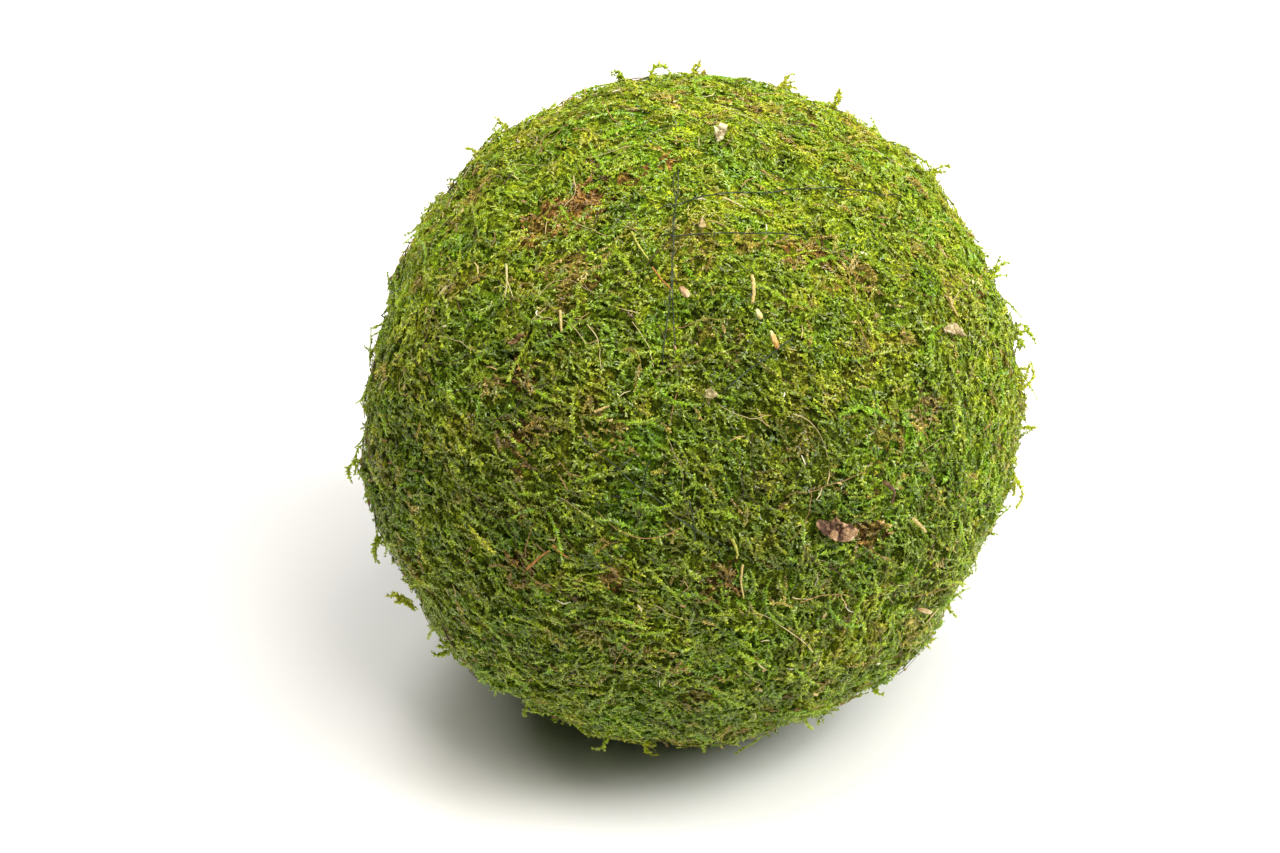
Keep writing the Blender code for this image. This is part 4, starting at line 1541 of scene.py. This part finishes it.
def root_forms(rng, count):
    """Thin roots and bare stems that wander over the moss."""
    for direction, heading in lying_places(rng, count, ROOT_TOUSLE, ROOT_LOWEST):
        length = rng.uniform(*ROOT_LENGTH)
        bend, height = rng.normal(0.0, ROOT_BEND), rng.uniform(*ROOT_HEIGHT)
        line = lying_line(rng, direction, heading, length, ROOT_POINTS, bend, height)
        radii = rng.uniform(*ROOT_RADIUS) * np.linspace(1.0, 0.5, ROOT_POINTS)
        yield tube_form(line, radii, rng.choice(ROOT_TINTS), rng.uniform(0.1, 0.6))


# Settings


def length_setting(name, description, default):
    """A length that a user may change."""
    return bpy.props.FloatProperty(name=name, description=description, default=default, unit="LENGTH")


def colour_setting(name, description, default):
    """A colour that a user may change."""
    return bpy.props.FloatVectorProperty(
        name=name, description=description, default=default, subtype="COLOR"
    )


def count_setting(name, description, default):
    """A number of things that a user may change."""
    return bpy.props.IntProperty(name=name, description=description, default=default, min=1)


class MossSettings(bpy.types.PropertyGroup):
    """Sizes and colours of the moss."""

    shoots: count_setting("Shoots", "Shoots over the whole ball", 17800)
    shoot_length: length_setting("Shoot length", "Length of a middling shoot", 0.0042)
    leaf_length: length_setting("Leaf length", "Length of a leaf", 0.00062)
    vivid: colour_setting("Vivid", "Freshest green of the moss", (0.155, 0.325, 0.008))
    fern: colour_setting("Fern", "Green of the moss in its cooler patches", (0.192, 0.322, 0.011))
    moss: colour_setting("Moss", "Green of most of the moss", (0.245, 0.338, 0.014))
    lime: colour_setting("Lime", "Yellow green of the tips", (0.325, 0.410, 0.014))
    tan: colour_setting("Tan", "Colour of dry moss", (0.410, 0.305, 0.058))
    brown: colour_setting("Brown", "Colour of the driest moss", (0.260, 0.172, 0.030))


class ThreadSettings(bpy.types.PropertyGroup):
    """Size and colours of the thread."""

    radius: length_setting("Radius", "Half the thickness of the thread", 0.00013)
    dark: colour_setting("Dark", "Darkest green of the thread", (0.014, 0.024, 0.012))
    colour: colour_setting("Colour", "Green of most of the thread", (0.042, 0.058, 0.030))
    worn: colour_setting("Worn", "Green of the thread where it is worn", (0.150, 0.180, 0.100))


class LitterSettings(bpy.types.PropertyGroup):
    """Amount of small litter."""

    crumbs: count_setting("Crumbs", "Small bits over the whole ball", 420)
    roots: count_setting("Fine roots", "Thin roots over the whole ball", 620)


class StageSettings(bpy.types.PropertyGroup):
    """Size and colour of the round floor."""

    floor_radius: length_setting("Floor radius", "Half the width of the floor", 0.75)
    floor_colour: colour_setting("Floor", "Colour of the floor", (0.88, 0.88, 0.88))


# Bed: how finely it is cut, how deep it lies, how rough and how much darker than the shoots it is, which
# is painted shade for the gaps between them, and how far its corners stray and its facets differ in tint
# and lightness
BED_FINENESS = 6
BED_DEPTH = 0.0010
BED_ROUGHNESS = 0.00022
BED_SHADE = 0.07
BED_STRAY = 0.0022
BED_TINTS = 0.01
BED_LIGHTS = 0.09

# Shoots: how many kinds there are, and the pieces they are joined in, from the top down
SHOOT_KINDS = 16
PLAIN_KINDS = 7
PROUD_KINDS = 4
SHOOT_PIECES = 5

# How far the shoots stray from an even spread and from the way they are combed, and mean and scatter
# of their tilt
SHOOT_STRAY = 0.45
SHOOT_TOUSLE = 0.55
SHOOT_PITCH = (0.08, 0.10)

# Length of the kinds, as a share of a middling shoot's: the first's, and what each further one adds.
# Shoots that lie proud on the others are longer, and so are their leaves
SHOOT_LENGTHS = (0.50, 0.055)
PROUD_LENGTHS = (1.9, 0.35)
PROUD_LEAF = 1.25

# How deep the shoots lie and how far that varies, the lightness that a metre of depth takes away as
# painted shade, and the lightness that a metre pressed down by thread gives back of that painted shade
SHOOT_SUNK = 0.0006
SUNK_SPREAD = 0.00026
SUNK_SHADE = 40.0
PRESSED_LIGHT = 110.0

# Share, light and tilt of the proud shoots, and share, least and most tilt of those with a lifted tip
PROUD_SHARE = 0.022
PROUD_LIGHT = 0.06
PROUD_PITCH = 0.04
LIFTED_SHARE = 0.07
LIFTED_PITCH = (0.3, 0.8)


# Operators


class MOSSBALL_OT_bed(bpy.types.Operator):
    """Make the bed of old moss under the shoots, made darker with painted shade for the gaps between them
    """

    bl_idname = "mossball.bed"
    bl_label = "Moss Bed"

    def execute(self, context):
        bed = add_shape(bpy.ops.mesh.primitive_ico_sphere_add, subdivisions=BED_FINENESS, radius=1.0)
        bed.name = bed.data.name = "moss_bed"
        bpy.ops.object.mode_set(mode="EDIT")
        bpy.ops.mesh.select_all(action="SELECT")
        bpy.ops.mesh.subdivide(number_cuts=1)
        bpy.ops.object.mode_set(mode="OBJECT")
        rng = np.random.default_rng(7)
        directions = unit(take_points(bed))
        directions = unit(directions + rng.normal(0.0, BED_STRAY, directions.shape))
        depth = BED_DEPTH + rng.normal(0.0, BED_ROUGHNESS, len(directions)) - moss_relief(directions)
        points = CENTRE_POINT + directions * (SKIN.reach(directions) - depth)[:, None]
        points[:, 2] = np.maximum(points[:, 2], 0.0)
        put_points(bed, points)
        self.map_palette(bed, directions, rng)
        finish_piece(bed, bed_finish().material, "moss", "moss_ball")
        return {"FINISHED"}

    @staticmethod
    def map_palette(bed, directions, rng):
        """Put each facet on the palette: the tint of its place, and a light of its own."""
        corners = np.empty(len(bed.data.loops), np.int64)
        bed.data.loops.foreach_get("vertex_index", corners)
        corners = corners.reshape(-1, 3)
        tint, light = moss_tints(directions, rng, 0.0)
        count = len(corners)
        tint = tint[corners[:, 0]] + rng.normal(0.0, BED_TINTS, count)
        # Painted shade: the bed is darker than the shoots above it
        light = light[corners[:, 0]] - BED_SHADE + rng.normal(0.0, BED_LIGHTS, count)
        places = on_map(tint, light)[:, None] + np.array([(0.0, 0.0), (0.008, 0.0), (0.0, 0.02)])
        for layer in list(bed.data.uv_layers):
            bed.data.uv_layers.remove(layer)
        layer = bed.data.uv_layers.new(name=LEAF_MAP)
        layer.uv.foreach_set("vector", places.astype(np.float32).ravel())


class MOSSBALL_OT_shoots(bpy.types.Operator):
    """Lay the leafy shoots over the ball"""

    bl_idname = "mossball.shoots"
    bl_label = "Moss Shoots"

    def execute(self, context):
        settings = context.scene.moss_settings
        rng = np.random.default_rng(21)
        directions = spread_directions(settings.shoots, rng, SHOOT_STRAY)
        headings = headings_at(directions, rng, SHOOT_TOUSLE)
        tint, light = moss_tints(directions, rng, 1.0)
        kinds = self.kinds(rng, settings.shoot_length, settings.leaf_length)
        kind, pitch, sink, tint, light = self.choice(rng, tint, light)
        laid = THREAD.settle(directions, sink, rng)
        # Shoots pressed down by thread get back part of their painted shade
        light = light + (laid - sink) * PRESSED_LIGHT
        lie = (directions, headings, pitch, laid, tint, light)
        finish = leaf_finish()
        share_down = (1.0 - directions[:, 2]) * 0.5
        band = np.minimum(share_down * SHOOT_PIECES, SHOOT_PIECES - 1).astype(int)
        for place in range(SHOOT_PIECES):
            forms = []
            for number, form in enumerate(kinds):
                chosen = (kind == number) & (band == place)
                forms.append(pressed_copies(form, *(values[chosen] for values in lie)))
            piece = Form.joined(forms).built(f"moss_shoots_{place + 1}")
            finish_piece(piece, finish.material, "moss")
        return {"FINISHED"}

    @staticmethod
    def kinds(rng, middling, leaf):
        """Shoots of every kind, from short to long, and then the longer ones that lie proud."""
        first, more = SHOOT_LENGTHS
        kinds = []
        for number in range(SHOOT_KINDS):
            branches = number % 4 if number >= PLAIN_KINDS else 0
            kinds.append(shoot_form(rng, middling * (first + more * number), leaf, branches))
        first, more = PROUD_LENGTHS
        for number in range(PROUD_KINDS):
            kinds.append(shoot_form(rng, middling * (first + more * number), leaf * PROUD_LEAF, 0))
        return kinds

    @staticmethod
    def choice(rng, tint, light):
        """Kind, tilt, depth, tint and light of each shoot."""
        count = len(tint)
        kind = rng.integers(0, SHOOT_KINDS, count)
        sink = rng.normal(SHOOT_SUNK, SUNK_SPREAD, count)
        proud = rng.uniform(0.0, 1.0, count) < PROUD_SHARE
        kind = np.where(proud, rng.integers(SHOOT_KINDS, SHOOT_KINDS + PROUD_KINDS, count), kind)
        sink = np.where(proud, 0.0, sink)
        tint = np.where(proud, rng.uniform(VIVID, MOSS, count), tint)
        light = np.where(proud, light + PROUD_LIGHT, light)
        pitch = rng.normal(*SHOOT_PITCH, count)
        lifted = rng.uniform(0.0, 1.0, count) < LIFTED_SHARE
        pitch = np.where(lifted, rng.uniform(*LIFTED_PITCH, count), pitch)
        pitch = np.where(proud, PROUD_PITCH, pitch)
        # Painted shade: a deeper shoot is darker
        return kind, pitch, sink, tint, light - (sink - SHOOT_SUNK) * SUNK_SHADE


class MOSSBALL_OT_sprigs(bpy.types.Operator):
    """Grow the sprigs that stand out of the moss"""

    bl_idname = "mossball.sprigs"
    bl_label = "Sprigs"

    def execute(self, context):
        rng = np.random.default_rng(5)
        piece = Form.joined(list(sprig_forms(rng))).built("moss_sprigs")
        finish_piece(piece, leaf_finish().material, "moss")
        return {"FINISHED"}


def thread_finish(settings):
    """Finish of the dark green thread: a slight gloss, paler where it is worn."""
    finish = Finish("green_thread", Roughness=0.6, Specular_IOR_Level=0.2)
    stops = ((0.35, settings.dark), (0.55, settings.colour), (0.74, settings.worn))
    finish.feed("Base Color", finish.ramp(finish.noise(700.0, 3.0), stops))
    finish.bump(finish.noise(6000.0, 1.0), 0.4, 0.0001)
    return finish


class MOSSBALL_OT_thread(bpy.types.Operator):
    """Wind the thread round the ball"""

    bl_idname = "mossball.thread"
    bl_label = "Thread"

    def execute(self, context):
        settings = context.scene.thread_settings
        finish = thread_finish(settings)
        for number, line in enumerate(THREAD.sunk_lines(), start=1):
            name, even = f"thread_{number}", np.ones(len(line))
            turn = tube(name, line + CENTRE_POINT, settings.radius, even, closed=True, sides=1)
            finish_piece(turn, finish.material, "thread", f"thread_turn_{number}")
        return {"FINISHED"}


class MOSSBALL_OT_strands(bpy.types.Operator):
    """Lay the stems, straws and needles that are caught in the moss"""

    bl_idname = "mossball.strands"
    bl_label = "Stems and Straws"

    def execute(self, context):
        for name in STRANDS:
            strand_piece(name)
        for name in FRONDS:
            frond_piece(name)
        return {"FINISHED"}


class MOSSBALL_OT_scraps(bpy.types.Operator):
    """Lay the husks and the flat scraps of bark and leaf"""

    bl_idname = "mossball.scraps"
    bl_label = "Husks and Scraps"

    def execute(self, context):
        for name in HUSKS:
            husk_piece(name)
        for name in FLAKES:
            flake_piece(name)
        return {"FINISHED"}


class MOSSBALL_OT_crumbs(bpy.types.Operator):
    """Scatter the crumbs and fine roots"""

    bl_idname = "mossball.crumbs"
    bl_label = "Crumbs and Roots"

    def execute(self, context):
        settings = context.scene.litter_settings
        finish = crumb_finish()
        crumbs = list(crumb_forms(np.random.default_rng(41), settings.crumbs))
        piece = Form.joined(crumbs).built("litter_crumbs")
        finish_piece(piece, finish.material, "straw")
        roots = list(root_forms(np.random.default_rng(43), settings.roots))
        piece = Form.joined(roots).built("fine_roots")
        finish_piece(piece, finish.material, "brown_litter")
        return {"FINISHED"}


# Soft lights: degrees round from the right, degrees up, size in metres, power in watts, colour
WHITE = (1.0, 1.0, 1.0)
WARM = (1.0, 0.955, 0.89)
LAMPS = {
    "key": (-19.0, 40.0, 0.50, 10.7, WHITE),
    "front_top": (-45.0, 67.0, 0.80, 11.7, WARM),
    "front": (-45.0, 45.0, 0.80, 6.0, WARM),
    "left_top": (180.0, 66.0, 0.80, 6.7, WARM),
    "back_top": (112.0, 62.0, 0.45, 5.3, WHITE),
}
LAMP_DISTANCE = 1.2
SKY_STRENGTH = 0.03
FLOOR_CORNERS = 96


class MOSSBALL_OT_stage(bpy.types.Operator):
    """Set the pale floor, the soft lights and the camera"""

    bl_idname = "mossball.stage"
    bl_label = "Stage"

    def execute(self, context):
        self.floor(context.scene.stage_settings)
        for name, (azimuth, elevation, size, power, colour) in LAMPS.items():
            self.light(name, math.radians(azimuth), math.radians(elevation), size, power, colour)
        self.sky()
        self.camera(context)
        context.scene.view_settings.view_transform = "Standard"
        return {"FINISHED"}

    @staticmethod
    def floor(settings):
        """Plain white ground."""
        ground = add_shape(
            bpy.ops.mesh.primitive_circle_add,
            vertices=FLOOR_CORNERS, radius=settings.floor_radius, fill_type="NGON",
        )
        ground.name = "ground"
        colour = (*settings.floor_colour, 1.0)
        finish = Finish("white_ground", Roughness=0.9, Specular_IOR_Level=0.1, Base_Color=colour)
        ground.data.materials.append(finish.material)
        ground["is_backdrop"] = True

    @staticmethod
    def light(name, azimuth, elevation, size, power, colour):
        """Square soft light that faces the ball, turned from the right and raised from the ground."""
        data = bpy.data.lights.new(name, "AREA")
        data.size = size
        data.energy = power
        data.color = colour
        lamp = bpy.data.objects.new(name, data)
        bpy.context.collection.objects.link(lamp)
        level = math.cos(elevation)
        way = Vector((math.cos(azimuth) * level, math.sin(azimuth) * level, math.sin(elevation)))
        lamp.location = CENTRE + way * LAMP_DISTANCE
        lamp.rotation_euler = way.to_track_quat("Z", "Y").to_euler()

    @staticmethod
    def sky():
        """White surroundings that give the ball only a faint light of their own."""
        world = bpy.data.worlds.new("surroundings")
        world.use_nodes = True
        nodes, links = world.node_tree.nodes, world.node_tree.links
        faint, plain = nodes["Background"], nodes.new("ShaderNodeBackground")
        for ground, strength in ((faint, SKY_STRENGTH), (plain, 1.0)):
            ground.inputs["Color"].default_value = (1.0, 1.0, 1.0, 1.0)
            ground.inputs["Strength"].default_value = strength
        rays, mix = nodes.new("ShaderNodeLightPath"), nodes.new("ShaderNodeMixShader")
        links.new(rays.outputs["Is Camera Ray"], mix.inputs[0])
        links.new(faint.outputs[0], mix.inputs[1])
        links.new(plain.outputs[0], mix.inputs[2])
        links.new(mix.outputs[0], nodes["World Output"].inputs["Surface"])
        bpy.context.scene.world = world

    @staticmethod
    def camera(context):
        """Camera at the photo's viewing angle."""
        data = bpy.data.cameras.new("view")
        data.sensor_width = SENSOR_WIDTH
        data.lens = FOCAL_PIXELS / PICTURE_SIZE[0] * SENSOR_WIDTH
        data.shift_x = (PICTURE_SIZE[0] / 2.0 - DISC_MIDDLE[0]) / PICTURE_SIZE[0]
        data.shift_y = (DISC_MIDDLE[1] - PICTURE_SIZE[1] / 2.0) / PICTURE_SIZE[0]
        data.clip_start = 0.01
        camera = bpy.data.objects.new("view", data)
        bpy.context.collection.objects.link(camera)
        camera.location = CENTRE + TO_CAMERA * VIEW_DISTANCE
        camera.rotation_euler = TO_CAMERA.to_track_quat("Z", "Y").to_euler()
        context.scene.camera = camera


OPERATORS = (
    MOSSBALL_OT_bed, MOSSBALL_OT_shoots, MOSSBALL_OT_sprigs, MOSSBALL_OT_thread,
    MOSSBALL_OT_strands, MOSSBALL_OT_scraps, MOSSBALL_OT_crumbs, MOSSBALL_OT_stage,
)
SETTINGS = {
    "moss_settings": MossSettings, "thread_settings": ThreadSettings,
    "litter_settings": LitterSettings, "stage_settings": StageSettings,
}


class MOSSBALL_PT_panel(bpy.types.Panel):
    """Lists the sizes, the colours and the pieces of the moss ball"""

    bl_idname = "MOSSBALL_PT_panel"
    bl_label = "Moss Ball"
    bl_space_type = "VIEW_3D"
    bl_region_type = "UI"
    bl_category = "Moss Ball"

    def draw(self, context):
        for name, group in SETTINGS.items():
            for setting in group.__annotations__:
                self.layout.prop(getattr(context.scene, name), setting)
        for operator in OPERATORS:
            self.layout.operator(operator.bl_idname)


CLASSES = (*SETTINGS.values(), *OPERATORS, MOSSBALL_PT_panel)


def register():
    """Make the settings and operators known."""
    for item in CLASSES:
        bpy.utils.register_class(item)
    for name, group in SETTINGS.items():
        setattr(bpy.types.Scene, name, bpy.props.PointerProperty(type=group))


def unregister():
    """Take the settings and operators away again."""
    for name in SETTINGS:
        delattr(bpy.types.Scene, name)
    for item in reversed(CLASSES):
        bpy.utils.unregister_class(item)


def main():
    """Make every piece."""
    register()
    bpy.ops.mossball.bed()
    bpy.ops.mossball.shoots()
    bpy.ops.mossball.sprigs()
    bpy.ops.mossball.thread()
    bpy.ops.mossball.strands()
    bpy.ops.mossball.scraps()
    bpy.ops.mossball.crumbs()
    bpy.ops.mossball.stage()
    boxes = {"cad": CAD_BOX, "visual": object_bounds()}
    sizes = {name: [list(corner) for corner in box] for name, box in boxes.items()}


if __name__ == "__main__":
    main()
